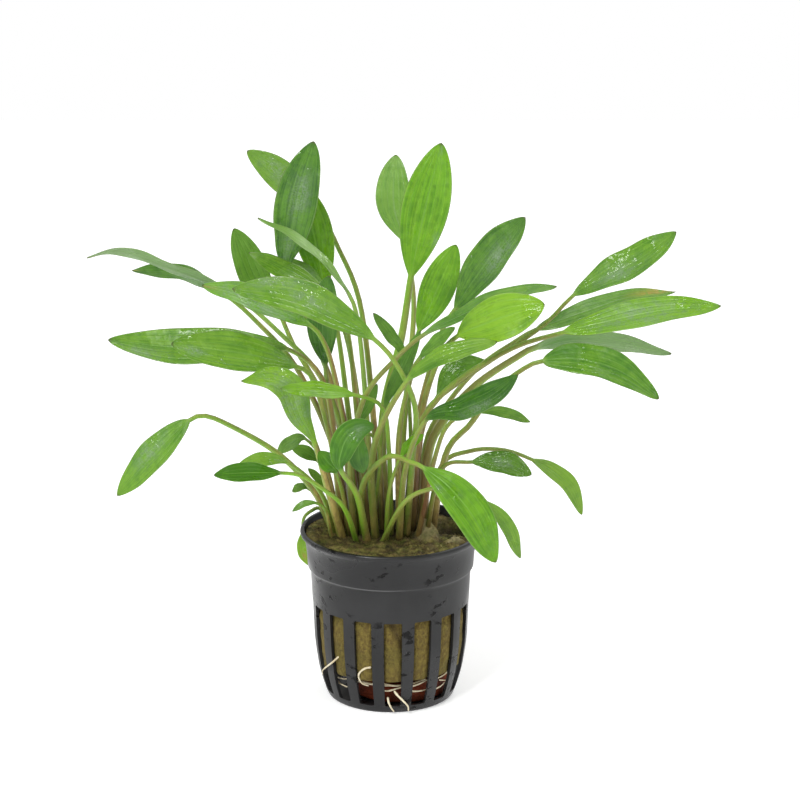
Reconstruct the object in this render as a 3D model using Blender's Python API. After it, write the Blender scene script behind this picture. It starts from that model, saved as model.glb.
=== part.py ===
"""A potted cryptocoryne, a small aquarium plant sold in a slotted net pot.

The origin is the centre of the pot's underside, +Z is up and -Y is the front.
The pot holds a clay ring, a plug of rock wool over it and some loose roots.
Every leaf is one solid, a round stalk that flattens into a thin blade.
Lengths are in millimetres, and MM turns them into metres.
"""
import math
from dataclasses import dataclass

import bmesh
import bpy
from mathutils import Vector

MM = 0.001
GAP = 0.3
SHARP_ANGLE = math.radians(40.0)

# Net pot: rows of its turned outside as radius, height and wall, from the lip down
SLOT_TOP = 30.3
SLOT_MIDDLE = 19.0
SLOT_FOOT = 2.4
WALL = 1.0
FLOOR = 1.2
LIP_ROWS = [(27.1, 52.5, 0.8), (27.5, 52.0, 1.4), (27.3, 51.3, 1.5), (26.4, 50.3, 1.2)]
WALL_ROWS = [(25.6, 46.5, WALL), (25.25, 41.1, WALL), (24.4, 40.2, WALL)]
SLOT_ROWS = [(23.9, SLOT_TOP, WALL), (23.4, SLOT_MIDDLE, WALL), (22.3, 10.0, WALL),
             (20.2, SLOT_FOOT, WALL)]
FOOT_ROWS = [(19.6, 0.8, WALL), (18.9, 0.0, WALL)]
POT_ROWS = LIP_ROWS + WALL_ROWS + SLOT_ROWS + FOOT_ROWS
SLOT_COUNT = 16
SLOT_ANGLE = math.radians(13.4)
FRONT_SLOT = math.radians(-90.0 + 1.8)

# Rock wool plug, its lumps as x, y, rise and spread, and the ring below it
WOOL_FOOT = 9.6
WOOL_TOP = 50.2
WOOL_EDGE = 49.2
WOOL_ROUNDING = 1.2
WOOL_SIDES = 28
WOOL_TOP_SHARES = (0.92, 0.68, 0.35)
WOOL_LUMPS = [(-4.0, 4.0, 1.2, 13.0), (10.0, 2.5, 1.6, 4.0), (18.0, 7.0, -2.5, 5.5)]
RING_CENTRE = (2.6, 0.0)
RING_OUTER = 15.6
RING_INNER = 8.5
RING_FOOT = 1.6
RING_TOP = 7.8
RING_EDGE = 0.8
RING_SIDES = 28

# The front view that leaf places are given in: distance, tilt and the point in its middle
VIEW_DISTANCE = 900.0
VIEW_TILT = math.radians(16.5)
VIEW_AIM = Vector((2.85, 0.0, 93.0))
VIEW_AIM_UP = 86.7

# Leaves: stalk radii at the wool and the blade, stretch of their depths, blade shape and sections
FOOT_RADIUS = 0.95
NECK_RADIUS = 0.55
TIP_RADIUS = 0.08
DEPTH_SPREAD = 1.35
BLADE_HALF_THICKNESS = 0.3
BLADE_FOLD = math.tan(math.radians(11.0))
BLADE_FULLNESS = 0.65
LEAF_SIDES = 6
BLADE_STEPS = (0.0, 0.12, 0.30, 0.52, 0.74, 0.91, 1.0)
NARROW_WIDTH = 6.0
NARROW_BLADE_STEPS = (0.0, 0.16, 0.40, 0.66, 0.88, 1.0)

DARK = (0.030, 0.130, 0.020)
MIDDLE = (0.065, 0.230, 0.030)
BRIGHT = (0.160, 0.400, 0.045)
GREY = (0.170, 0.330, 0.140)


@dataclass
class Leaf:
    """One leaf by its places in the front view.

    foot is the stalk's x and y on the wool. stalk and blade are points along
    the leaf as across, up and back, with the pot's axis and foot at zero and
    back growing away from the viewer. roll turns the upper side from facing
    the viewer towards the right-hand side of the way that the leaf points, and
    twist is what the tip adds to it. thick scales the stalk, and a blade is
    widest before its middle where skew is under 1.
    """

    name: str
    width: float
    roll: float
    shade: tuple
    foot: tuple
    stalk: list
    blade: list
    thick: float = 1.0
    twist: float = 0.0
    skew: float = 1.08


LEFT_LEAVES = [
    Leaf("leaf_left_1", 8.0, 112.0, GREY, (-10.5, 7.0), [(-13, 68, 8), (-20, 92, 9), (-34, 107.5, 8)],
         [(-48, 119.2, 7), (-58, 123.3, 6), (-69, 127, 5), (-82, 131.3, 4), (-91, 129.2, 3)]),
    Leaf("leaf_left_2", 8.5, 55.0, DARK, (-13.0, 10.0), [(-17, 72, 12.8), (-28, 96, 14), (-40, 110, 14.5)],
         [(-50, 118.5, 15), (-62.5, 124.4, 15), (-77.6, 125.6, 14)]),
    Leaf("leaf_left_3", 9.5, 42.0, BRIGHT, (-9.5, 0.5), [(-12, 70, -3), (-17, 95, -4), (-20, 104, -4)],
         [(-24, 109, -5), (-34, 113.8, -6), (-46, 118.6, -8), (-56.5, 121, -10)]),
    Leaf("leaf_left_4", 12.8, 30.0, MIDDLE, (-13.5, 3.5), [(-16, 68, 0.3), (-20, 92, 0)],
         [(-31, 102, 2), (-46, 102.8, 4), (-66, 102.5, 6), (-84.7, 104.8, 6)]),
    Leaf("leaf_left_5", 12.5, 25.0, MIDDLE, (-14.8, 0.9), [(-17, 70, -7), (-23, 92, -10)],
         [(-28.5, 96.8, -11), (-42, 100.2, -13), (-54, 101.9, -15), (-65.8, 103.5, -17)]),
]

UPPER_LEFT_LEAVES = [
    Leaf("leaf_upper_left_1", 12.0, 32.0, MIDDLE, (4.8, -2.9),
         [(6.5, 68, -9), (7.5, 84, -14), (2, 97, -16)],
         [(-5, 105, -17), (-16, 112, -19), (-30, 118, -21), (-47.5, 120, -24)]),
    Leaf("leaf_upper_left_2", 10.0, 15.0, MIDDLE, (-3.5, 12.0),
         [(-5, 80, 21), (-9, 115, 30), (-16, 133, 32)],
         [(-21, 142, 33), (-32.5, 153.5, 33), (-43, 161.5, 32)]),
    Leaf("leaf_upper_left_3", 13.2, -12.0, DARK, (-9.5, 10.0), [(-14, 80, 14), (-23, 106, 17)],
         [(-31, 126, 18), (-29.5, 138, 18), (-27, 151, 19), (-23, 164.3, 20)]),
    Leaf("leaf_upper_left_4", 12.0, 0.0, BRIGHT, (-6.0, 11.0), [(-9, 80, 17.5), (-13, 105, 23)],
         [(-19.2, 120, 26), (-21.7, 130, 27), (-24, 141, 27), (-27, 152, 28)]),
    Leaf("leaf_upper_left_5", 8.0, 71.0, GREY, (-5.5, 4.0), [(-7, 80, 5), (-9.5, 108, 6)],
         [(-12.5, 118.5, 6), (-20.5, 128.5, 7), (-30, 136, 8), (-39.8, 141.4, 8)]),
    Leaf("leaf_upper_left_6", 10.0, 10.0, DARK, (-12.5, 13.0), [(-19, 84, 19), (-29, 103, 23)],
         [(-33.8, 113.6, 26), (-40, 122.3, 27), (-43.6, 130.7, 27), (-47, 138.2, 28)]),
    Leaf("leaf_upper_left_7", 9.0, 48.0, MIDDLE, (-7.5, 7.0), [(-10, 82, 9), (-13, 108, 10)],
         [(-17.5, 117, 10), (-29, 123.7, 11), (-42.5, 131, 12)]),
    Leaf("leaf_upper_left_8", 7.0, 45.0, MIDDLE, (-9.0, 13.5), [(-13, 86, 17.5), (-16, 108, 20)],
         [(-19, 118, 20), (-27, 125.5, 21.5), (-35.5, 129, 23)]),
    Leaf("leaf_upper_left_9", 9.5, -5.0, DARK, (-11.2, 4.2), [(-14, 75, 6.5), (-18.8, 91, 5)],
         [(-19.5, 97.5, 4), (-20.4, 106, 3), (-20, 115, 3), (-18.5, 124, 4)]),
]

TOP_LEAVES = [
    Leaf("leaf_top_1", 11.0, -15.0, GREY, (2.0, 12.5), [(4, 80, 21), (7, 115, 30)],
         [(3.9, 134.6, 34), (1.3, 143.5, 35), (0.9, 151.5, 36), (1.6, 160.3, 38)]),
    Leaf("leaf_top_2", 14.5, 0.0, BRIGHT, (-0.5, 8.0), [(-2.6, 70, 10), (-1.4, 87, 13), (3.2, 105, 17)],
         [(6.2, 124, 18), (9, 138, 19), (12, 151, 20), (15.3, 163.8, 22)], 1.5),
    Leaf("leaf_top_3", 10.5, 0.0, BRIGHT, (2.5, 5.0), [(4, 78, 7), (6, 97, 8)],
         [(8.6, 107.5, 8), (12, 115.1, 9), (16.1, 125, 9), (19.7, 133.3, 10)]),
    Leaf("leaf_top_4", 12.0, -25.0, DARK, (4.5, 8.5), [(8, 80, 6), (15, 106, 4)],
         [(19.5, 114, 4), (24.5, 122, 3.5), (32, 132, 3), (40.5, 141.5, 2)]),
]

MIDDLE_RIGHT_LEAVES = [
    Leaf("leaf_middle_right_1", 9.0, -60.0, GREY, (-10.9, -3.3),
         [(-12, 68, -9), (-8, 87, -13), (1, 98.5, -12)],
         [(10, 106.3, -10), (22, 112.4, -8), (36, 118.3, -7), (49.9, 120.9, -6)]),
    Leaf("leaf_middle_right_2", 13.5, -8.0, BRIGHT, (6.5, 1.5), [(9, 80, -3), (14.5, 99, -9)],
         [(20.3, 106, -14), (29, 109.8, -17), (38, 113, -19), (46.3, 115.4, -20)]),
    Leaf("leaf_middle_right_3", 7.5, -42.0, MIDDLE, (-4.5, -5.0), [(-5.8, 66, -10), (-2.6, 79.5, -16)],
         [(5.5, 93, -19), (13, 98.5, -21), (22, 101.8, -22), (32, 104.2, -23)], 1.15),
    Leaf("leaf_middle_right_4", 5.0, -40.0, DARK, (2.7, -2.2), [(2.5, 75, -8), (6, 93, -11)],
         [(9, 99.5, -13), (13.8, 104, -14), (19.3, 108.5, -15)]),
    Leaf("leaf_middle_right_5", 8.0, -25.0, DARK, (8.5, 10.0), [(9, 75, 14)],
         [(14.3, 88, 16.5), (20, 95.5, 17.6), (28.3, 98.7, 18.6)]),
    Leaf("leaf_middle_right_6", 10.0, -42.0, DARK, (2.5, -5.5), [(4.5, 66, -15)],
         [(11, 81, -22), (21, 83.8, -25), (30, 87.8, -27), (38.4, 94.2, -28)]),
    Leaf("leaf_middle_right_7", 4.0, -35.0, MIDDLE, (8.0, -3.9), [(13.5, 70, -12), (18, 80, -15)],
         [(26.5, 83.2, -17), (34.5, 82.8, -18), (42, 80.1, -19)], 0.8),
]

RIGHT_LEAVES = [
    Leaf("leaf_right_1", 11.3, -36.0, MIDDLE, (5.6, 11.2),
         [(6.6, 74, 9.5), (12, 85, 8), (25.4, 95.4, 4), (45, 108.4, 0)],
         [(55, 118.2, -1), (64.5, 123.8, -2), (75, 129.1, -3), (85.8, 137.2, -4)], 0.85),
    Leaf("leaf_right_2", 7.5, -34.0, GREY, (9.6, 6.6),
         [(10.5, 73, 12), (17, 85.5, 13), (27, 97, 14), (37, 104, 12)],
         [(44, 108, 12), (60, 113.8, 12), (72, 117.6, 12), (85.6, 119.2, 12)], 0.9, -20.0, 0.85),
    Leaf("leaf_right_3", 11.0, -40.0, BRIGHT, (2.4, 0.9), [(5, 70, -5), (15, 88, -9), (35, 101.5, -11)],
         [(52, 107, -11), (66, 110.4, -12), (82, 113.6, -13), (99.2, 115, -14)], 1.0, 0.0, 0.95),
    Leaf("leaf_right_4", 9.0, -130.0, GREY, (9.8, 2.6),
         [(11.3, 70, 1), (15.6, 80, 0), (25.6, 91.2, -1), (38.5, 99.9, -1)],
         [(44, 102.6, -1), (56, 104.8, -2), (70, 103.2, -3), (84.3, 100.6, -4)], 1.45, 0.0, 0.85),
    Leaf("leaf_right_5", 11.5, -35.0, MIDDLE, (12.6, -1.0),
         [(16.5, 70.2, -6), (24, 79.5, -9), (31, 89, -12), (39.5, 95.8, -16)],
         [(45.8, 98.4, -18), (57, 98.9, -19), (69.5, 95, -21), (80.5, 87, -23)], 1.0, 0.0, 0.78),
]

HEART_LEAVES = [
    Leaf("leaf_heart_1", 9.5, 0.0, BRIGHT, (-14.5, -4.0), [(-19, 61, -10)],
         [(-22.8, 74, -15), (-27, 81.5, -17), (-30, 89.5, -18), (-36, 92.8, -19), (-44.8, 92.5, -20)],
         1.25, 60.0),
    Leaf("leaf_heart_2", 6.5, 42.0, BRIGHT, (0.3, -1.4), [(-0.5, 72, -9), (-2.5, 84.5, -12)],
         [(-11, 88.3, -17), (-21, 89.5, -22), (-33, 90, -25)], 0.8),
    Leaf("leaf_heart_3", 4.0, 20.0, DARK, (6.0, 5.0), [(6, 78, 0)],
         [(4, 99, -4), (0, 106, -4), (-5.2, 112.8, -5)], 0.7),
    Leaf("leaf_heart_4", 4.5, 0.0, DARK, (-2.5, 2.0), [(-3, 70, -3)],
         [(-1.5, 85, -6), (3.5, 96, -8), (9, 107.5, -8)], 0.8),
    Leaf("leaf_heart_5", 8.0, 0.0, BRIGHT, (-7.0, -6.3), [(-10, 58, -15)],
         [(-15, 66, -22), (-14.6, 71.7, -24), (-12.5, 76, -24), (-9, 78.3, -23), (-4.8, 79, -22)], 1.1),
    Leaf("leaf_heart_6", 3.5, 0.0, DARK, (-6.2, 0.7), [(-8.5, 66, -1)],
         [(-9.3, 79, -4), (-6.8, 85, -5), (-4, 91.5, -6)], 0.7),
    Leaf("leaf_heart_7", 6.0, 0.0, DARK, (-5.6, -1.8),
         [(-4.2, 58, -5), (-3.2, 69, -9), (-5.2, 75.8, -13)],
         [(-8.6, 75.8, -15.5), (-9.6, 70.3, -17), (-8.1, 64.7, -17)], 0.6),
    Leaf("leaf_heart_8", 5.5, 0.0, BRIGHT, (-12.5, -1.0), [(-14, 57, -8)],
         [(-16.3, 65, -17), (-18.8, 68, -18), (-21.5, 71.3, -18)], 0.7),
    Leaf("leaf_heart_9", 3.5, -20.0, BRIGHT, (-1.3, -5.8), [(-0.4, 59, -12)],
         [(3.3, 70, -14), (6.3, 73.7, -14.5), (10, 76.3, -15)], 0.7),
]

LOW_LEFT_LEAVES = [
    Leaf("leaf_low_left_1", 10.0, 30.0, MIDDLE, (-17.0, 1.5),
         [(-23, 59.4, -3), (-34, 70.8, -4), (-48.5, 79.2, -5), (-56, 82, -6)],
         [(-60.5, 80.5, -7), (-65.2, 76.3, -8), (-72.9, 68.2, -9), (-82, 58, -9)], 1.0, 0.0, 0.92),
    Leaf("leaf_low_left_2", 6.0, 42.0, MIDDLE, (-16.3, -1.5), [(-21, 59, -8)],
         [(-31, 68, -12), (-39, 68.5, -14), (-47, 65.3, -16)], 0.8),
    Leaf("leaf_low_left_3", 7.5, 40.0, BRIGHT, (-10.0, -6.5),
         [(-14, 54.5, -14), (-21, 60.5, -19), (-27, 64, -21)],
         [(-33, 64.8, -22), (-43, 64.8, -23), (-53, 64.2, -24)], 0.8),
    Leaf("leaf_low_left_4", 4.2, 10.0, GREY, (-15.5, 6.5), [(-19, 66, 4)],
         [(-25.5, 75, 2), (-30, 73.8, 1), (-34, 70.8, 1)], 0.6),
    Leaf("leaf_low_left_5", 4.5, 20.0, MIDDLE, (-16.5, 9.0), [(-18, 62, 10)],
         [(-22, 68.5, 10), (-26, 71.2, 10), (-29.5, 72, 10)], 0.6),
    Leaf("leaf_low_left_6", 3.0, 30.0, DARK, (-18.2, 4.6), [(-21, 56.5, 3)],
         [(-25, 60.3, 2), (-27.3, 60.5, 2), (-29.5, 59.2, 2)], 0.6),
    Leaf("leaf_low_left_7", 2.5, 10.0, MIDDLE, (-15.4, 3.9), [(-17.5, 57, 1)],
         [(-20, 61, 0), (-22.2, 63.7, 0), (-24.7, 66.2, 0)], 0.6),
    Leaf("leaf_low_left_8", 2.4, 30.0, GREY, (-17.5, -4.0), [(-19.5, 53.5, -8)],
         [(-22.5, 55.8, -10), (-26, 55.5, -11), (-29.5, 53.3, -11)], 0.6),
    Leaf("leaf_low_left_9", 4.0, 30.0, BRIGHT, (-18.5, 8.5),
         [(-21, 54, 9), (-23.8, 53.4, 9), (-26, 51.2, 9)],
         [(-26.4, 47, 9), (-26.2, 41.5, 9), (-24.5, 37, 8.5)], 0.6),
]

LOW_RIGHT_LEAVES = [
    Leaf("leaf_low_right_1", 12.0, -22.0, BRIGHT, (-8.3, -1.7),
         [(-8.3, 61, -11), (-1, 69.6, -18), (6, 68, -24)],
         [(10, 66.3, -27), (18, 60, -31), (25.5, 50.5, -33), (31.6, 38, -33)]),
    Leaf("leaf_low_right_2", 5.5, -38.0, MIDDLE, (-2.9, -7.6),
         [(4, 55.8, -18), (12, 60, -22), (21, 60, -24)],
         [(28, 56.3, -25), (32, 52.8, -25), (35.5, 47.8, -25), (39, 39.2, -25)], 0.8),
    Leaf("leaf_low_right_3", 7.5, -25.0, DARK, (10.6, -2.6), [(15, 65.5, -9)],
         [(24.5, 68.1, -11), (33, 68, -12), (37.6, 66.6, -13), (42.3, 64.3, -13)], 0.8),
    Leaf("leaf_low_right_4", 6.5, -38.0, MIDDLE, (12.2, 1.2),
         [(15, 66.5, -2), (23.9, 71.4, -3), (34, 71.7, -4)],
         [(42.7, 68.7, -5), (49.2, 65, -6), (54.4, 59.9, -6), (57.4, 52.3, -6)], 0.8, 0.0, 0.92),
]

LEAVES = (LEFT_LEAVES + UPPER_LEFT_LEAVES + TOP_LEAVES + MIDDLE_RIGHT_LEAVES + RIGHT_LEAVES
          + HEART_LEAVES + LOW_LEFT_LEAVES + LOW_RIGHT_LEAVES)

# Roots: radius, then points as degrees to the right of the front, reach from the axis and height
ROOTS = {
    "root_band": (0.45, [(-48, 17.6, 8.8), (-30, 18.0, 8.6), (-8, 18.2, 8.4),
                         (15, 18.2, 8.4), (38, 17.6, 8.8)]),
    "root_hanging_right": (0.4, [(3, 19.4, 7.2), (6, 21.0, 6.2), (10, 22.0, 4.8),
                                 (14, 21.6, 2.8), (15, 20.9, 0.9)]),
    "root_hanging_left": (0.35, [(-2.5, 20.0, 5.4), (-1.5, 21.5, 4.2), (0.5, 21.5, 2.5), (3, 20.9, 0.9)]),
    "root_loop": (0.35, [(-15, 22.1, 15.6), (-21, 22.2, 14.8), (-26, 22.0, 12.4),
                         (-24.5, 21.0, 9.6), (-19, 20.0, 8.5)]),
    "root_left": (0.35, [(-44, 22.4, 17.0), (-49, 23.3, 14.8), (-58, 23.5, 11.8), (-65, 23.1, 9.6)]),
}
ROOT_SIDES = 6
ROOT_STEPS = 6


def clear_scene():
    """Start from an empty scene."""
    for old in list(bpy.data.objects):
        bpy.data.objects.remove(old, do_unlink=True)


def seen(across, up, back):
    """Point of the front view, in millimetres, at a distance back from the pot's axis."""
    rise = up - VIEW_AIM_UP
    side = across - VIEW_AIM.x
    sin_tilt, cos_tilt = math.sin(VIEW_TILT), math.cos(VIEW_TILT)
    viewer = VIEW_AIM - Vector((0.0, cos_tilt, -sin_tilt)) * VIEW_DISTANCE
    ray = Vector((side, VIEW_DISTANCE * cos_tilt + rise * sin_tilt,
                  rise * cos_tilt - VIEW_DISTANCE * sin_tilt))
    reach = (back - viewer.y) / ray.y
    return viewer + ray * reach


def view_direction(point):
    """Unit vector from the viewer of the front view to a point."""
    viewer = VIEW_AIM - Vector((0.0, math.cos(VIEW_TILT), -math.sin(VIEW_TILT))) * VIEW_DISTANCE
    return (point - viewer).normalized()


def smooth_path(points, steps=12):
    """Points along a Catmull-Rom curve through the given ones."""
    padded = [points[0] * 2 - points[1]] + points + [points[-1] * 2 - points[-2]]
    path = []
    for start in range(1, len(padded) - 2):
        before, here, there, after = padded[start - 1:start + 3]
        for step in range(steps):
            t = step / steps
            path.append(0.5 * (2 * here + (there - before) * t
                               + (2 * before - 5 * here + 4 * there - after) * t * t
                               + (3 * here - before - 3 * there + after) * t * t * t))
    path.append(points[-1].copy())
    return path


class Spine:
    """A smooth path measured by its length."""

    def __init__(self, points):
        self.path = smooth_path(points)
        self.marks = [0.0]
        for here, there in zip(self.path, self.path[1:]):
            self.marks.append(self.marks[-1] + (there - here).length)

    def length(self):
        return self.marks[-1]

    def length_to(self, control, steps=12):
        return self.marks[control * steps]

    def at(self, distance):
        distance = min(max(distance, 0.0), self.length())
        for index in range(1, len(self.marks)):
            if self.marks[index] >= distance:
                span = self.marks[index] - self.marks[index - 1]
                share = (distance - self.marks[index - 1]) / span
                return self.path[index - 1].lerp(self.path[index], share)
        return self.path[-1].copy()

    def heading(self, distance):
        reach = 0.02 * self.length()
        return (self.at(distance + reach) - self.at(distance - reach)).normalized()


def blade_shape(share, skew):
    """Half-width of a blade as a share of its greatest."""
    if not 0.0 < share < 1.0:
        return 0.0
    return math.sin(math.pi * share ** skew) ** BLADE_FULLNESS


def wool_height(x, y):
    """Top of the wool over a point, with its low dome, lumps and hollows."""
    height = WOOL_TOP
    for lump_x, lump_y, rise, spread in WOOL_LUMPS:
        distance = math.hypot(x - lump_x, y - lump_y) / spread
        height += rise * math.exp(-distance * distance)
    return height


def leaf_stations(leaf, spine):
    """Sections of a leaf as distance along it, share of the blade and share of the stalk."""
    neck = spine.length_to(1 + len(leaf.stalk))
    blade_length = spine.length() - neck
    narrow = leaf.width < NARROW_WIDTH
    stalk_steps = len(leaf.stalk) + (1 if narrow else 2)
    blade_steps = NARROW_BLADE_STEPS if narrow else BLADE_STEPS
    stations = [(neck * step / stalk_steps, 0.0, step / stalk_steps) for step in range(stalk_steps)]
    return stations + [(neck + blade_length * share, share, 1.0) for share in blade_steps]


def leaf_rings(leaf):
    """Sections of a leaf, from its round foot to the tip of its folded blade."""
    foot_height = wool_height(*leaf.foot) + GAP + FOOT_RADIUS * leaf.thick
    controls = [Vector((*leaf.foot, foot_height))]
    for across, up, back in leaf.stalk + leaf.blade:
        controls.append(seen(across, up, back * DEPTH_SPREAD))
    spine = Spine(controls)
    rings = []
    for distance, share, stalk_share in leaf_stations(leaf, spine):
        centre = spine.at(distance)
        ahead = spine.heading(distance)
        side = view_direction(centre).cross(ahead).normalized()
        face = side.cross(ahead).normalized()
        turn = math.radians(leaf.roll + leaf.twist * share ** 2)
        across = side * math.cos(turn) - face * math.sin(turn)
        outward = face * math.cos(turn) + side * math.sin(turn)
        stalk_radius = (FOOT_RADIUS + (NECK_RADIUS - FOOT_RADIUS) * stalk_share) * leaf.thick
        fade = 1.0 - share
        blade_width = 0.5 * leaf.width * blade_shape(share, leaf.skew)
        half_width = math.hypot(stalk_radius * fade ** 2 + TIP_RADIUS, blade_width)
        blade_thickness = max(BLADE_HALF_THICKNESS * fade ** 0.5, TIP_RADIUS)
        half_thickness = max(stalk_radius * (3.0 * fade - 2.0), blade_thickness)
        fold = BLADE_FOLD * math.sin(math.pi * share)
        ring = []
        for corner in range(LEAF_SIDES):
            angle = math.tau * corner / LEAF_SIDES
            x = half_width * math.cos(angle)
            y = half_thickness * math.sin(angle) + abs(x) * fold
            ring.append(centre + across * x + outward * y)
        rings.append(ring)
    return rings


def around(turn, reach, height):
    """Point at a turn to the right of the front, a reach from the pot's axis and a height."""
    angle = math.radians(turn)
    return Vector((reach * math.sin(angle), -reach * math.cos(angle), height))


def tube_rings(points, radius):
    """Sections of a root that thins to half its radius."""
    spine = Spine([around(*point) for point in points])
    rings = []
    for step in range(ROOT_STEPS + 1):
        distance = spine.length() * step / ROOT_STEPS
        centre = spine.at(distance)
        ahead = spine.heading(distance)
        side = ahead.cross(Vector((0.0, 0.0, 1.0))).normalized()
        above = side.cross(ahead).normalized()
        taper = radius * (1.0 - 0.5 * step / ROOT_STEPS)
        ring = []
        for corner in range(ROOT_SIDES):
            angle = math.tau * corner / ROOT_SIDES
            ring.append(centre + side * taper * math.cos(angle) + above * taper * math.sin(angle))
        rings.append(ring)
    return rings


def closed_skin(rings):
    """Closed mesh over a row of rings, with a flat cap at both ends."""
    mesh = bmesh.new()
    rows = [[mesh.verts.new(point * MM) for point in ring] for ring in rings]
    sides = len(rows[0])
    for below, above in zip(rows, rows[1:]):
        for corner in range(sides):
            after = (corner + 1) % sides
            mesh.faces.new((below[corner], below[after], above[after], above[corner]))
    mesh.faces.new(rows[0][::-1])
    mesh.faces.new(rows[-1])
    bmesh.ops.recalc_face_normals(mesh, faces=mesh.faces)
    return mesh


def add_object(name, mesh, colour, roughness):
    """Link a mesh as one named part with its own material."""
    data = bpy.data.meshes.new(name)
    mesh.to_mesh(data)
    mesh.free()
    data.shade_smooth()
    data.set_sharp_from_angle(angle=SHARP_ANGLE)
    part = bpy.data.objects.new(name, data)
    bpy.context.scene.collection.objects.link(part)
    material = bpy.data.materials.new(name)
    material.use_nodes = True
    shader = material.node_tree.nodes["Principled BSDF"]
    shader.inputs["Base Color"].default_value = (*colour, 1.0)
    shader.inputs["Roughness"].default_value = roughness
    shader.inputs["Metallic"].default_value = 0.0
    data.materials.append(material)
    return part


def slot_columns():
    """Angles of the pot's columns: three for each slot, at its edges and its middle."""
    columns = []
    for slot in range(SLOT_COUNT):
        centre = FRONT_SLOT + math.tau * slot / SLOT_COUNT
        columns += [centre - SLOT_ANGLE / 2, centre, centre + SLOT_ANGLE / 2]
    return columns


def turned(radius, height, angle):
    """Point in metres at an angle around an upright axis."""
    return Vector((radius * math.cos(angle), radius * math.sin(angle), height)) * MM


def make_pot():
    """Turned shell with an outer and an inner skin, open in the slots."""
    mesh = bmesh.new()
    angles = slot_columns()
    outer, inner = [], []
    for radius, height, wall in POT_ROWS:
        inside = max(height, FLOOR)
        outer.append([mesh.verts.new(turned(radius, height, angle)) for angle in angles])
        inner.append([mesh.verts.new(turned(radius - wall, inside, angle)) for angle in angles])
    first_slot_row = len(LIP_ROWS) + len(WALL_ROWS)
    last_slot_row = first_slot_row + len(SLOT_ROWS) - 1
    count = len(angles)

    def is_open(row, column):
        return first_slot_row <= row < last_slot_row and column % 3 < 2

    def span(first, second):
        """Wall of the slot, or edge of the lip, between two edges of the outer skin."""
        (row_a, column_a), (row_b, column_b) = first, second
        mesh.faces.new((outer[row_a][column_a], outer[row_b][column_b],
                        inner[row_b][column_b], inner[row_a][column_a]))

    for row in range(len(POT_ROWS) - 1):
        for column in range(count):
            after = (column + 1) % count
            if is_open(row, column):
                continue
            for skin_rows in (outer, inner):
                mesh.faces.new((skin_rows[row][column], skin_rows[row + 1][column],
                                skin_rows[row + 1][after], skin_rows[row][after]))
            if is_open(row, after):
                span((row, after), (row + 1, after))
            if is_open(row, (column - 1) % count):
                span((row, column), (row + 1, column))
    for column in range(count):
        after = (column + 1) % count
        span((0, column), (0, after))
        if is_open(first_slot_row, column):
            span((first_slot_row, column), (first_slot_row, after))
            span((last_slot_row, column), (last_slot_row, after))
    mesh.faces.new(outer[-1])
    mesh.faces.new(inner[-1])
    bmesh.ops.recalc_face_normals(mesh, faces=mesh.faces)
    return add_object("net_pot", mesh, (0.014, 0.016, 0.018), 0.3)


def pot_inside(height):
    """Radius of the pot's inner wall at a height."""
    rows = WALL_ROWS + SLOT_ROWS
    for (top_radius, top, wall), (low_radius, low, _) in zip(rows, rows[1:]):
        if low <= height <= top:
            share = (height - low) / (top - low)
            return low_radius + (top_radius - low_radius) * share - wall
    return rows[0][0] - WALL


def wool_side_radius(height):
    """Radius of the wool's side, which clears the pot."""
    return pot_inside(height) - 2.0 * GAP


def make_wool():
    """Turned plug with a rounded foot, closed by a lumpy top."""
    step_heights = (WALL_ROWS[2][1], WALL_ROWS[1][1])
    side_heights = (WOOL_FOOT + WOOL_ROUNDING, SLOT_MIDDLE, SLOT_TOP, *step_heights, WOOL_EDGE)
    foot_radius = wool_side_radius(WOOL_FOOT) - WOOL_ROUNDING
    edge_radius = wool_side_radius(WOOL_EDGE)
    outline = [(foot_radius, WOOL_FOOT)] + [(wool_side_radius(z), z) for z in side_heights]
    outline += [(edge_radius * share, None) for share in WOOL_TOP_SHARES]
    mesh = bmesh.new()
    rows = []
    for radius, height in outline:
        row = []
        for corner in range(WOOL_SIDES):
            angle = math.tau * corner / WOOL_SIDES
            x, y = radius * math.cos(angle), radius * math.sin(angle)
            z = wool_height(x, y) if height is None else height
            row.append(mesh.verts.new((x * MM, y * MM, z * MM)))
        rows.append(row)
    for below, above in zip(rows, rows[1:]):
        for corner in range(WOOL_SIDES):
            after = (corner + 1) % WOOL_SIDES
            mesh.faces.new((below[corner], below[after], above[after], above[corner]))
    mesh.faces.new(rows[0][::-1])
    middle = mesh.verts.new((0.0, 0.0, wool_height(0.0, 0.0) * MM))
    for corner in range(WOOL_SIDES):
        mesh.faces.new((rows[-1][corner], rows[-1][(corner + 1) % WOOL_SIDES], middle))
    bmesh.ops.recalc_face_normals(mesh, faces=mesh.faces)
    return add_object("rock_wool", mesh, (0.115, 0.090, 0.030), 0.95)


def make_ring():
    """Clay ring that weighs the pot down, with its upper outer edge broken."""
    section = [(RING_INNER, RING_FOOT), (RING_OUTER, RING_FOOT), (RING_OUTER, RING_TOP - RING_EDGE),
               (RING_OUTER - RING_EDGE, RING_TOP), (RING_INNER, RING_TOP)]
    mesh = bmesh.new()
    rows = []
    for corner in range(RING_SIDES):
        angle = math.tau * corner / RING_SIDES
        rows.append([mesh.verts.new(turned(radius, height, angle)) for radius, height in section])
    for corner in range(RING_SIDES):
        here, there = rows[corner], rows[(corner + 1) % RING_SIDES]
        for point in range(len(section)):
            after = (point + 1) % len(section)
            mesh.faces.new((here[point], there[point], there[after], here[after]))
    bmesh.ops.recalc_face_normals(mesh, faces=mesh.faces)
    ring = add_object("clay_ring", mesh, (0.300, 0.075, 0.035), 0.8)
    ring.location = (RING_CENTRE[0] * MM, RING_CENTRE[1] * MM, 0.0)
    return ring


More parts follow.
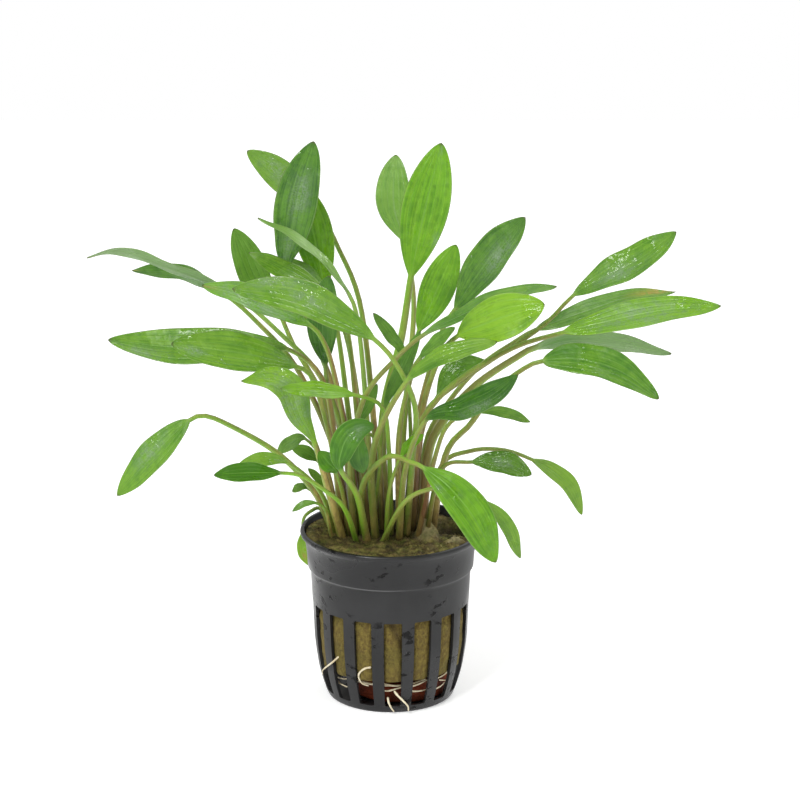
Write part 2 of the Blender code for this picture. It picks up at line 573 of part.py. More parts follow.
def main():
    clear_scene()
    make_pot()
    make_wool()
    make_ring()
    for name, (radius, points) in ROOTS.items():
        add_object(name, closed_skin(tube_rings(points, radius)), (0.620, 0.560, 0.400), 0.6)
    for leaf in LEAVES:
        add_object(leaf.name, closed_skin(leaf_rings(leaf)), leaf.shade, 0.35)


main()
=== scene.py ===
"""The looks of a potted cryptocoryne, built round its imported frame.

The plant is a crown of long-stalked leaves in a plug of rock wool, which stands
in a slotted net pot over a clay ring, with a few loose roots in the slots. Every
piece here stands for the frame's node of the same name and grows from the same
driving dimensions, with finer skins and finishes.

Lengths in the tables are in millimetres, and MM turns them into metres. The
origin is the middle of the pot's underside, +Z is up and -Y is the front.
"""

import logging
import math
import random
from bisect import bisect_left
from collections.abc import Callable
from dataclasses import dataclass, field
from enum import Enum
from typing import NamedTuple

import bmesh
import bpy
from bmesh.types import BMesh, BMLayerItem, BMVert
from bpy.types import Material, Node, NodeSocket, World
from mathutils import Matrix, Vector, noise

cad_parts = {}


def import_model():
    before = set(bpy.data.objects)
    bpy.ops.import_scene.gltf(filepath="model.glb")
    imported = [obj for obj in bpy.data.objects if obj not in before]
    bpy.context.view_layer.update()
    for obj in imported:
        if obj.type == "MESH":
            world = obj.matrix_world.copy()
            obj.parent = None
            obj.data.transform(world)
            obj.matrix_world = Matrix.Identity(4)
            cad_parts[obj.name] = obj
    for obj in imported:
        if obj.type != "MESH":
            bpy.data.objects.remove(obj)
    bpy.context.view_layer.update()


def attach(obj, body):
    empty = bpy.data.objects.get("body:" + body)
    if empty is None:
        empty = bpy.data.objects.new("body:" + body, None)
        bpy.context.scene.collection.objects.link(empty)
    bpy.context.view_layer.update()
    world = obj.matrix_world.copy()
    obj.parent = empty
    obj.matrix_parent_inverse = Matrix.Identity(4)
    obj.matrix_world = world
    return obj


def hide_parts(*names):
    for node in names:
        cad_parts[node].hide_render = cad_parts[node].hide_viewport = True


MM = 0.001
BODY = "root"
WELD = 1e-7
GRID_SEAM = 0.4999
LOG = logging.getLogger("cryptocoryne")

Colour = tuple[float, float, float]
Route = list[tuple[float, float, float]]
Strand = tuple[float, Route]
Table = tuple[tuple[float, ...], ...]


class Channel:
    """An output socket of a material that can be used in Python expressions."""

    def __init__(self, bench: "Bench", socket: NodeSocket) -> None:
        """Wrap an output socket of one of the bench's nodes."""
        self.bench = bench
        self.socket = socket

    def math(self, operation: str, *values: "Channel | float") -> "Channel":
        """Add one Math node, with its inputs in order."""
        return self.bench.read("ShaderNodeMath", {"operation": operation}, dict(enumerate(values)))

    def __add__(self, other: "Channel | float") -> "Channel":
        """Sum with a value on the right."""
        return self.math("ADD", self, other)

    def __radd__(self, other: float) -> "Channel":
        """Sum with a value on the left."""
        return self.math("ADD", other, self)

    def __sub__(self, other: "Channel | float") -> "Channel":
        """Difference with a value on the right."""
        return self.math("SUBTRACT", self, other)

    def __rsub__(self, other: float) -> "Channel":
        """Difference with a value on the left."""
        return self.math("SUBTRACT", other, self)

    def __mul__(self, other: "Channel | float") -> "Channel":
        """Product with a value on the right."""
        return self.math("MULTIPLY", self, other)

    def __rmul__(self, other: float) -> "Channel":
        """Product with a value on the left."""
        return self.math("MULTIPLY", other, self)

    def __pow__(self, power: float) -> "Channel":
        """Power of the value."""
        return self.math("POWER", self, power)

    def __abs__(self) -> "Channel":
        """Size of the value without its sign."""
        return self.math("ABSOLUTE", self)

    def cosine(self) -> "Channel":
        """Cosine of the value in radians."""
        return self.math("COSINE", self)

    def step(self, low: float, high: float) -> "Channel":
        """Ease from 0 at one value to 1 at another.

        Args:
            low: Where the result is 0.
            high: Where the result is 1.

        Returns:
            The eased share.
        """
        if low > high:
            return 1.0 - self.step(high, low)
        settings = {"interpolation_type": "SMOOTHSTEP"}
        return self.bench.read("ShaderNodeMapRange", settings, {0: self, 1: low, 2: high})


class Bench:
    """The nodes of one material, or of the room round the plant."""

    def __init__(self, owner: Material | World) -> None:
        """Clear the nodes of the material or the world that owns them."""
        owner.use_nodes = True
        self.owner = owner
        self.tree = owner.node_tree
        self.tree.nodes.clear()
        self.place = self.read("ShaderNodeTexCoord", output="Object")

    def add(self, kind: str, settings: dict | None = None, inputs: dict | None = None) -> Node:
        """Add a node of any type.

        Args:
            kind: The node's type.
            settings: Values of its properties, set first.
            inputs: Values, channels or nodes for its input sockets, by name or number.

        Returns:
            The node.
        """
        node = self.tree.nodes.new(kind)
        for name, value in (settings or {}).items():
            setattr(node, name, value)
        for key, value in (inputs or {}).items():
            socket = node.inputs[key]
            if isinstance(value, Channel):
                self.tree.links.new(value.socket, socket)
            elif isinstance(value, Node):
                self.tree.links.new(value.outputs[0], socket)
            elif socket.type == "RGBA":
                socket.default_value = (*value, 1.0)
            else:
                socket.default_value = value
        return node

    def read(self, kind: str, settings: dict | None = None, inputs: dict | None = None,
             output: int | str = 0) -> Channel:
        """Add a node of any type and read one of its outputs."""
        return Channel(self, self.add(kind, settings, inputs).outputs[output])

    def mark(self, name: str) -> Channel:
        """Read a number that the mesh carries at its points."""
        settings = {"attribute_type": "GEOMETRY", "attribute_name": name}
        return self.read("ShaderNodeAttribute", settings, output="Fac")

    def height(self) -> Channel:
        """Height in the object's coordinates, or of a direction in the room."""
        return self.read("ShaderNodeSeparateXYZ", inputs={0: self.place}, output="Z")

    def vector(self, *parts: "Channel | float") -> Channel:
        """Join three values into a vector."""
        return self.read("ShaderNodeCombineXYZ", inputs=dict(enumerate(parts)))

    def stretched(self, *scales: float) -> Channel:
        """Object coordinates with a scale of their own on each axis."""
        return self.read("ShaderNodeVectorMath", {"operation": "MULTIPLY"}, {0: self.place, 1: scales})

    def noise(self, scale: float, detail: float = 2.0, vector: Channel | None = None) -> Channel:
        """Soft pattern around 0.5, with a scale in repeats a metre or a unit of the vector."""
        inputs = {"Vector": vector or self.place, "Scale": scale, "Detail": detail}
        return self.read("ShaderNodeTexNoise", inputs=inputs)

    def cells(self, scale: float) -> Channel:
        """Distance to the nearest of many random points, with a scale in points a metre."""
        inputs = {"Vector": self.place, "Scale": scale}
        return self.read("ShaderNodeTexVoronoi", inputs=inputs, output="Distance")

    def mix(self, share: "Channel | float", first: "Channel | Colour",
            second: "Channel | Colour") -> Channel:
        """Blend two colours by the share of the second."""
        settings = {"data_type": "RGBA", "clamp_factor": True}
        return self.read("ShaderNodeMix", settings, {0: share, 6: first, 7: second}, 2)

    def blend(self, share: Channel, first: Node, second: Node) -> Node:
        """Blend two shaders by the share of the second."""
        return self.add("ShaderNodeMixShader", None, {0: share, 1: first, 2: second})

    def bump(self, height: Channel, depth: float) -> Channel:
        """Surface normal of a height pattern, where a value of 1 is the depth in metres."""
        return self.read("ShaderNodeBump", inputs={"Height": height, "Distance": depth})

    def surface(self, **inputs: "Channel | float | Colour") -> Node:
        """Add the main shader, with underscores for the spaces in its sockets' names."""
        named = {name.replace("_", " "): value for name, value in inputs.items()}
        return self.add("ShaderNodeBsdfPrincipled", None, named)

    def finish(self, shader: Node) -> Material | World:
        """Send the last shader to the output and give back the material or the world."""
        self.add(f"ShaderNodeOutput{type(self.owner).__name__}", None, {"Surface": shader})
        return self.owner


class Finish:
    """A surface that can be made into a material, with its gloss and the depth of its relief."""

    gloss: float = 0.5
    relief_depth: float

    def shader(self, bench: Bench) -> Node:
        """Lay the surface's nodes and give back the last one."""
        raise NotImplementedError

    def skin(self, bench: Bench, colour: Channel, roughness: Channel, relief: Channel) -> Node:
        """Add the main shader with the finish's gloss and relief."""
        return bench.surface(Base_Color=colour, Roughness=roughness, Specular_IOR_Level=self.gloss,
                             Normal=bench.bump(relief, self.relief_depth))

    def make(self, name: str) -> Material:
        """Make the material."""
        bench = Bench(bpy.data.materials.new(name))
        return bench.finish(self.shader(bench))


def turned(radius: float, angle: float, height: float) -> Vector:
    """Point at a distance from the axis, a turn around it and a height."""
    return Vector((radius * math.cos(angle), radius * math.sin(angle), height))


def nearness(x: float, y: float, spot: tuple[float, float], spread: float, power: int) -> float:
    """Share that falls from 1 at a spot to 0, faster past the spread for a higher power."""
    return math.exp(-((math.hypot(x - spot[0], y - spot[1]) / spread) ** power))


def smooth_path(points: list[Vector], steps: int) -> list[Vector]:
    """Lay a Catmull-Rom curve through points.

    Args:
        points: Points that the curve passes.
        steps: Points made for each stretch between two of them.

    Returns:
        Points along the curve.
    """
    padded = [points[0] * 2 - points[1]] + points + [points[-1] * 2 - points[-2]]
    path = []
    for start in range(1, len(padded) - 2):
        before, here, there, after = padded[start - 1:start + 3]
        for step in range(steps):
            t = step / steps
            path.append(0.5 * (2 * here + (there - before) * t
                               + (2 * before - 5 * here + 4 * there - after) * t * t
                               + (3 * here - before - 3 * there + after) * t * t * t))
    path.append(points[-1].copy())
    return path


class Spine:
    """A smooth path measured by its length.

    STEPS is the number of points in each stretch, and REACH is how far before
    and behind a place its direction is taken, as a share of the length.
    """

    STEPS = 24
    REACH = 0.02

    def __init__(self, points: list[Vector]) -> None:
        """Lay the path through points in millimetres."""
        self.path = smooth_path(points, self.STEPS)
        self.marks = [0.0]
        for here, there in zip(self.path, self.path[1:]):
            self.marks.append(self.marks[-1] + (there - here).length)

    def length(self) -> float:
        """Whole length in millimetres."""
        return self.marks[-1]

    def length_to(self, point: int) -> float:
        """Length up to one of the points that the path passes, by its number."""
        return self.marks[point * self.STEPS]

    def at(self, distance: float) -> Vector:
        """Find the point at a distance along the path.

        Args:
            distance: Distance from the start in millimetres.

        Returns:
            The point.
        """
        distance = min(max(distance, 0.0), self.length())
        index = max(bisect_left(self.marks, distance), 1)
        span = self.marks[index] - self.marks[index - 1]
        share = (distance - self.marks[index - 1]) / span
        return self.path[index - 1].lerp(self.path[index], share)

    def heading(self, distance: float) -> Vector:
        """Unit direction of the path at a distance along it."""
        reach = self.REACH * self.length()
        return (self.at(distance + reach) - self.at(distance - reach)).normalized()


def rolled_sheet(mesh: BMesh, around: int, rows: int,
                 place: Callable[[BMVert, float, int], None], closed: bool = True) -> None:
    """Roll a grid into a tube and close its seam.

    Args:
        mesh: The mesh that the tube is added to.
        around: Faces around the tube.
        rows: Faces along the tube.
        place: Moves one point, given the turn around the tube and the row along it.
        closed: Whether the two ends are filled.
    """
    points = bmesh.ops.create_grid(mesh, x_segments=around, y_segments=rows, size=0.5)["verts"]
    for point in points:
        turn = math.tau * (point.co.x + 0.5) if point.co.x < GRID_SEAM else 0.0
        place(point, turn, round((point.co.y + 0.5) * rows))
    bmesh.ops.remove_doubles(mesh, verts=points, dist=WELD)
    if closed:
        open_edges = [edge for edge in mesh.edges if edge.is_boundary]
        bmesh.ops.holes_fill(mesh, edges=open_edges, sides=0)


def make_piece(name: str, mesh: BMesh, material: Material) -> bpy.types.Object:
    """Turn a mesh into a smooth piece that stands for the frame's node of the same name.

    Args:
        name: The node's name.
        mesh: The finished mesh, in metres.
        material: Its material.

    Returns:
        The piece.
    """
    bmesh.ops.recalc_face_normals(mesh, faces=mesh.faces)
    data = bpy.data.meshes.new(f"{name}_look")
    mesh.to_mesh(data)
    mesh.free()
    data.shade_smooth()
    data.materials.append(material)
    piece = bpy.data.objects.new(f"{name}_look", data)
    bpy.context.scene.collection.objects.link(piece)
    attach(piece, BODY)
    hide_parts(name)
    LOG.info("%s has %d faces", piece.name, len(data.polygons))
    return piece


class LeafShade(Enum):
    """Named greens of the leaves, each with the name that its material takes."""

    # DARK and BRIGHT are partly the leaves' own greens and partly painted light: leaves lying in shadow take
    # the dark green and leaves lit from behind the bright one
    DARK = "leaf_dark"
    MIDDLE = "leaf_middle"
    BRIGHT = "leaf_bright"
    GREY = "leaf_grey"


DARK, MIDDLE, BRIGHT, GREY = LeafShade


@dataclass(frozen=True)
class LeafFinish(Finish):
    """Colours and gloss of a leaf, from the foot of its stalk to its tip."""

    upper: Colour
    deep: Colour
    glow: Colour
    under: Colour
    vein: Colour
    margin: Colour
    through: float
    stalk_tan: Colour = (0.500, 0.395, 0.115)
    stalk_red: Colour = (0.225, 0.088, 0.034)
    stalk_green: Colour = (0.265, 0.365, 0.050)
    sheath: Colour = (0.190, 0.110, 0.045)
    old: Colour = (0.022, 0.013, 0.008)
    spot: Colour = (0.500, 0.370, 0.080)
    tip: Colour = (0.110, 0.095, 0.040)
    rim: Colour = (0.130, 0.120, 0.035)
    # sheen is the colour of a painted reflection
    sheen: Colour = (0.330, 0.430, 0.290)
    vein_pairs: int = 3
    roughness: float = 0.34
    gloss: float = 0.45
    relief_depth: float = 0.0006

    def _blade(self, bench: Bench, across: Channel, along: Channel) -> Channel:
        """Colour the blade: two sides, streaks, mottling, veins and pale margin.

        Args:
            bench: The material's nodes.
            across: Place across the blade, -1 to 1.
            along: Place along the blade, 0 to 1.

        Returns:
            The blade's colour.
        """
        deep, warm = bench.mark("deep"), bench.mark("warm")
        streak = bench.noise(1.0, 3.0, bench.vector(across * 6.0, along * 1.7, deep * 40.0)).step(0.36, 0.68)
        lines = bench.noise(1.0, 2.0, bench.vector(across * 17.0, along * 2.2, deep * 70.0)).step(0.38, 0.64)
        mottle = bench.noise(420.0, 3.0).step(0.42, 0.62)
        patch = bench.noise(90.0, 1.5).step(0.36, 0.68)
        face = bench.mix(warm * 0.75 + streak * 0.30, self.upper, self.glow)
        face = bench.mix(deep * 0.95 + mottle * 0.28 + patch * 0.26 + lines * 0.46 - 0.41, face, self.deep)
        back = bench.mix(streak * 0.35, self.under, self.upper)
        colour = bench.mix(bench.mark("upper").step(-0.5, 0.5), back, face)
        # painted shade: the deep green laid where the blade lies in shadow
        colour = bench.mix(bench.mark("shade") * 0.85, colour, self.deep)
        colour = bench.mix(self._ribs(across) * 0.18, colour, self.vein)
        midrib = abs(across).step(0.075, 0.02) * along.step(1.0, 0.2)
        colour = bench.mix(midrib * 0.50, colour, self.vein)
        colour = bench.mix(abs(across).step(0.92, 0.97) * 0.45, colour, self.margin)
        speckle = bench.noise(1900.0, 2.0).step(0.25, 0.80)
        # painted sheen: a pale grey-green reflection painted into the colour of the wet patches
        painted_sheen_share = bench.mark("glaze") * (speckle * 0.5 + mottle * 0.3)
        colour = bench.mix(painted_sheen_share, colour, self.sheen)
        return bench.mix(abs(across).step(0.975, 1.0) * 0.7, colour, self.rim)

    def _ribs(self, across: Channel) -> Channel:
        """Veins from the stalk to the tip beside the midrib: 1 on one, 0 between two."""
        return ((across * (math.tau * self.vein_pairs)).cosine() * 0.5 + 0.5) ** 7.0

    def _stalk(self, bench: Bench, across: Channel, along: Channel) -> Channel:
        """Colour the stalk, tan or reddish from its foot up and green towards the blade, with painted shade
        at crowded feet and on one side.

        Args:
            bench: The material's nodes.
            across: Place across the stalk, -1 to 1.
            along: Place along the stalk, -1 at its foot to 0 at the blade.

        Returns:
            The stalk's colour.
        """
        patches = bench.noise(160.0, 2.0, bench.stretched(1.0, 1.0, 0.22)).step(0.38, 0.66)
        height = (along + 1.0 - bench.mark("ripe") * 1.1 + patches * 0.16).step(-0.30, 0.12)
        redness = (bench.mark("blush") + patches * 0.45 - 0.35).step(0.05, 0.80)
        foot = bench.mix(redness, self.stalk_tan, self.stalk_red)
        lines = bench.noise(1400.0, 1.0, bench.stretched(1.0, 1.0, 0.03)).step(0.42, 0.62)
        green = bench.mix(lines * 0.35, self.stalk_green, self.upper)
        stalk = bench.mix(height, bench.mix(lines * 0.40, foot, self.sheath), green)
        # one side of the stalk is darkened towards the sheath brown as painted shade, and the other side
        # turns greener
        stalk = bench.mix((across + patches * 0.5).step(0.30, 1.10) * 0.50, stalk, self.sheath)
        stalk = bench.mix((across - patches * 0.5).step(-0.30, -1.10) * 0.50, stalk, self.upper)
        # painted shade at the feet of crowded stalks, darkest near the wool
        return bench.mix(bench.mark("low") * (patches * 0.2 + 0.64), stalk, self.old)

    def shader(self, bench: Bench) -> Node:
        """Lay the leaf's colours under water films and drops, with light coming through the blade.

        Args:
            bench: The material's nodes.

        Returns:
            The last shader.
        """
        across, along = bench.mark("across"), bench.mark("along")
        colour = bench.mix(along.step(-0.05, 0.05), self._stalk(bench, across, along),
                           self._blade(bench, across, along))
        colour = bench.mix(bench.mark("spot") * bench.noise(600.0, 2.0).step(0.22, 0.50), colour, self.spot)
        colour = bench.mix(along.step(0.975, 0.997) * 0.8, colour, self.tip)
        wet_margin = bench.mark("wet") * abs(across).step(0.50, 0.95)
        wetness = (bench.noise(95.0, 1.0) + bench.mark("wet") * 0.13 + bench.mark("glaze") * 0.11
                   + wet_margin * 0.05)
        film = wetness.step(0.60, 0.65) * along.step(0.02, 0.1)
        dew = wetness.step(0.52, 0.74) * bench.noise(560.0, 1.0)
        quilt = bench.noise(210.0, 2.0)
        crinkle = bench.noise(700.0, 2.0)
        relief = self._ribs(across) * -0.12 + quilt * 0.85 + crinkle * 0.22 + dew * 0.7
        skin = self.skin(bench, colour, self.roughness - film * 0.28 + crinkle * 0.08, relief)
        lit = bench.add("ShaderNodeBsdfTranslucent", None, {"Color": self.glow})
        return bench.blend(along.step(-0.02, 0.08) * self.through, skin, lit)


LEAF_FINISHES = {
    DARK: LeafFinish(
        upper=(0.110, 0.290, 0.023), deep=(0.030, 0.118, 0.009), glow=(0.200, 0.380, 0.040),
        under=(0.130, 0.260, 0.070), vein=(0.140, 0.310, 0.050), margin=(0.240, 0.400, 0.110), through=0.22),
    MIDDLE: LeafFinish(
        upper=(0.152, 0.358, 0.028), deep=(0.050, 0.185, 0.011), glow=(0.280, 0.480, 0.048),
        under=(0.190, 0.340, 0.105), vein=(0.190, 0.390, 0.070), margin=(0.300, 0.460, 0.130), through=0.28),
    BRIGHT: LeafFinish(
        upper=(0.160, 0.430, 0.012), deep=(0.040, 0.155, 0.006), glow=(0.320, 0.550, 0.030),
        under=(0.250, 0.440, 0.110), vein=(0.260, 0.510, 0.080), margin=(0.370, 0.570, 0.150), through=0.36),
    GREY: LeafFinish(
        upper=(0.190, 0.400, 0.056), deep=(0.075, 0.220, 0.028), glow=(0.290, 0.490, 0.090),
        under=(0.230, 0.370, 0.150), vein=(0.300, 0.460, 0.200), margin=(0.400, 0.540, 0.260), through=0.28),
}


class Patch(Enum):
    """Named marks that a leaf's surface has in one place."""

    SPOT = "spot"
    # a wet film, which also paints a pale sheen into the colour
    GLAZE = "glaze"
    # painted shade on part of a blade
    SHADE = "shade"


SPOT, GLAZE, SHADE = Patch


@dataclass(frozen=True)
class LeafCare:
    """What sets one leaf's surface apart from its neighbours'.

    deep and warm are the shares of the deep green and of the yellow green on
    the blade, the deep green partly the leaf's own tone and partly painted
    shade, and wet how far water films cover it. ripe is how far up the stalk it
    is tan, and blush the red share of that. wave is the height of the margin's
    waves as a share of the width, and each patch lies at a place along and
    across the blade with a spread: a yellow spot, a wet film with a painted
    sheen, or a painted shade.
    """

    deep: float = 0.3
    warm: float = 0.3
    wet: float = 0.4
    ripe: float = 0.5
    blush: float = 0.4
    wave: float = 0.03
    patches: tuple[tuple[Patch, float, float, float], ...] = ()


@dataclass(frozen=True)
class Leaf:
    """One leaf by its places in the front view.

    foot is the stalk's x and y on the wool. stalk and blade are points along
    the leaf as across, up and back, with the pot's axis and foot at zero and
    back growing away from the viewer. roll turns the upper side from facing
    the viewer towards the right-hand side of the way that the leaf points, and
    twist is what the tip adds to it. thick scales the stalk, and a blade is
    widest before its middle where skew is under 1. A leaf without care has its
    tones drawn.
    """

    width: float
    roll: float
    shade: LeafShade
    foot: tuple[float, float]
    stalk: Route
    blade: Route
    care: LeafCare | None = None
    thick: float = 1.0
    twist: float = 0.0
    skew: float = 1.08


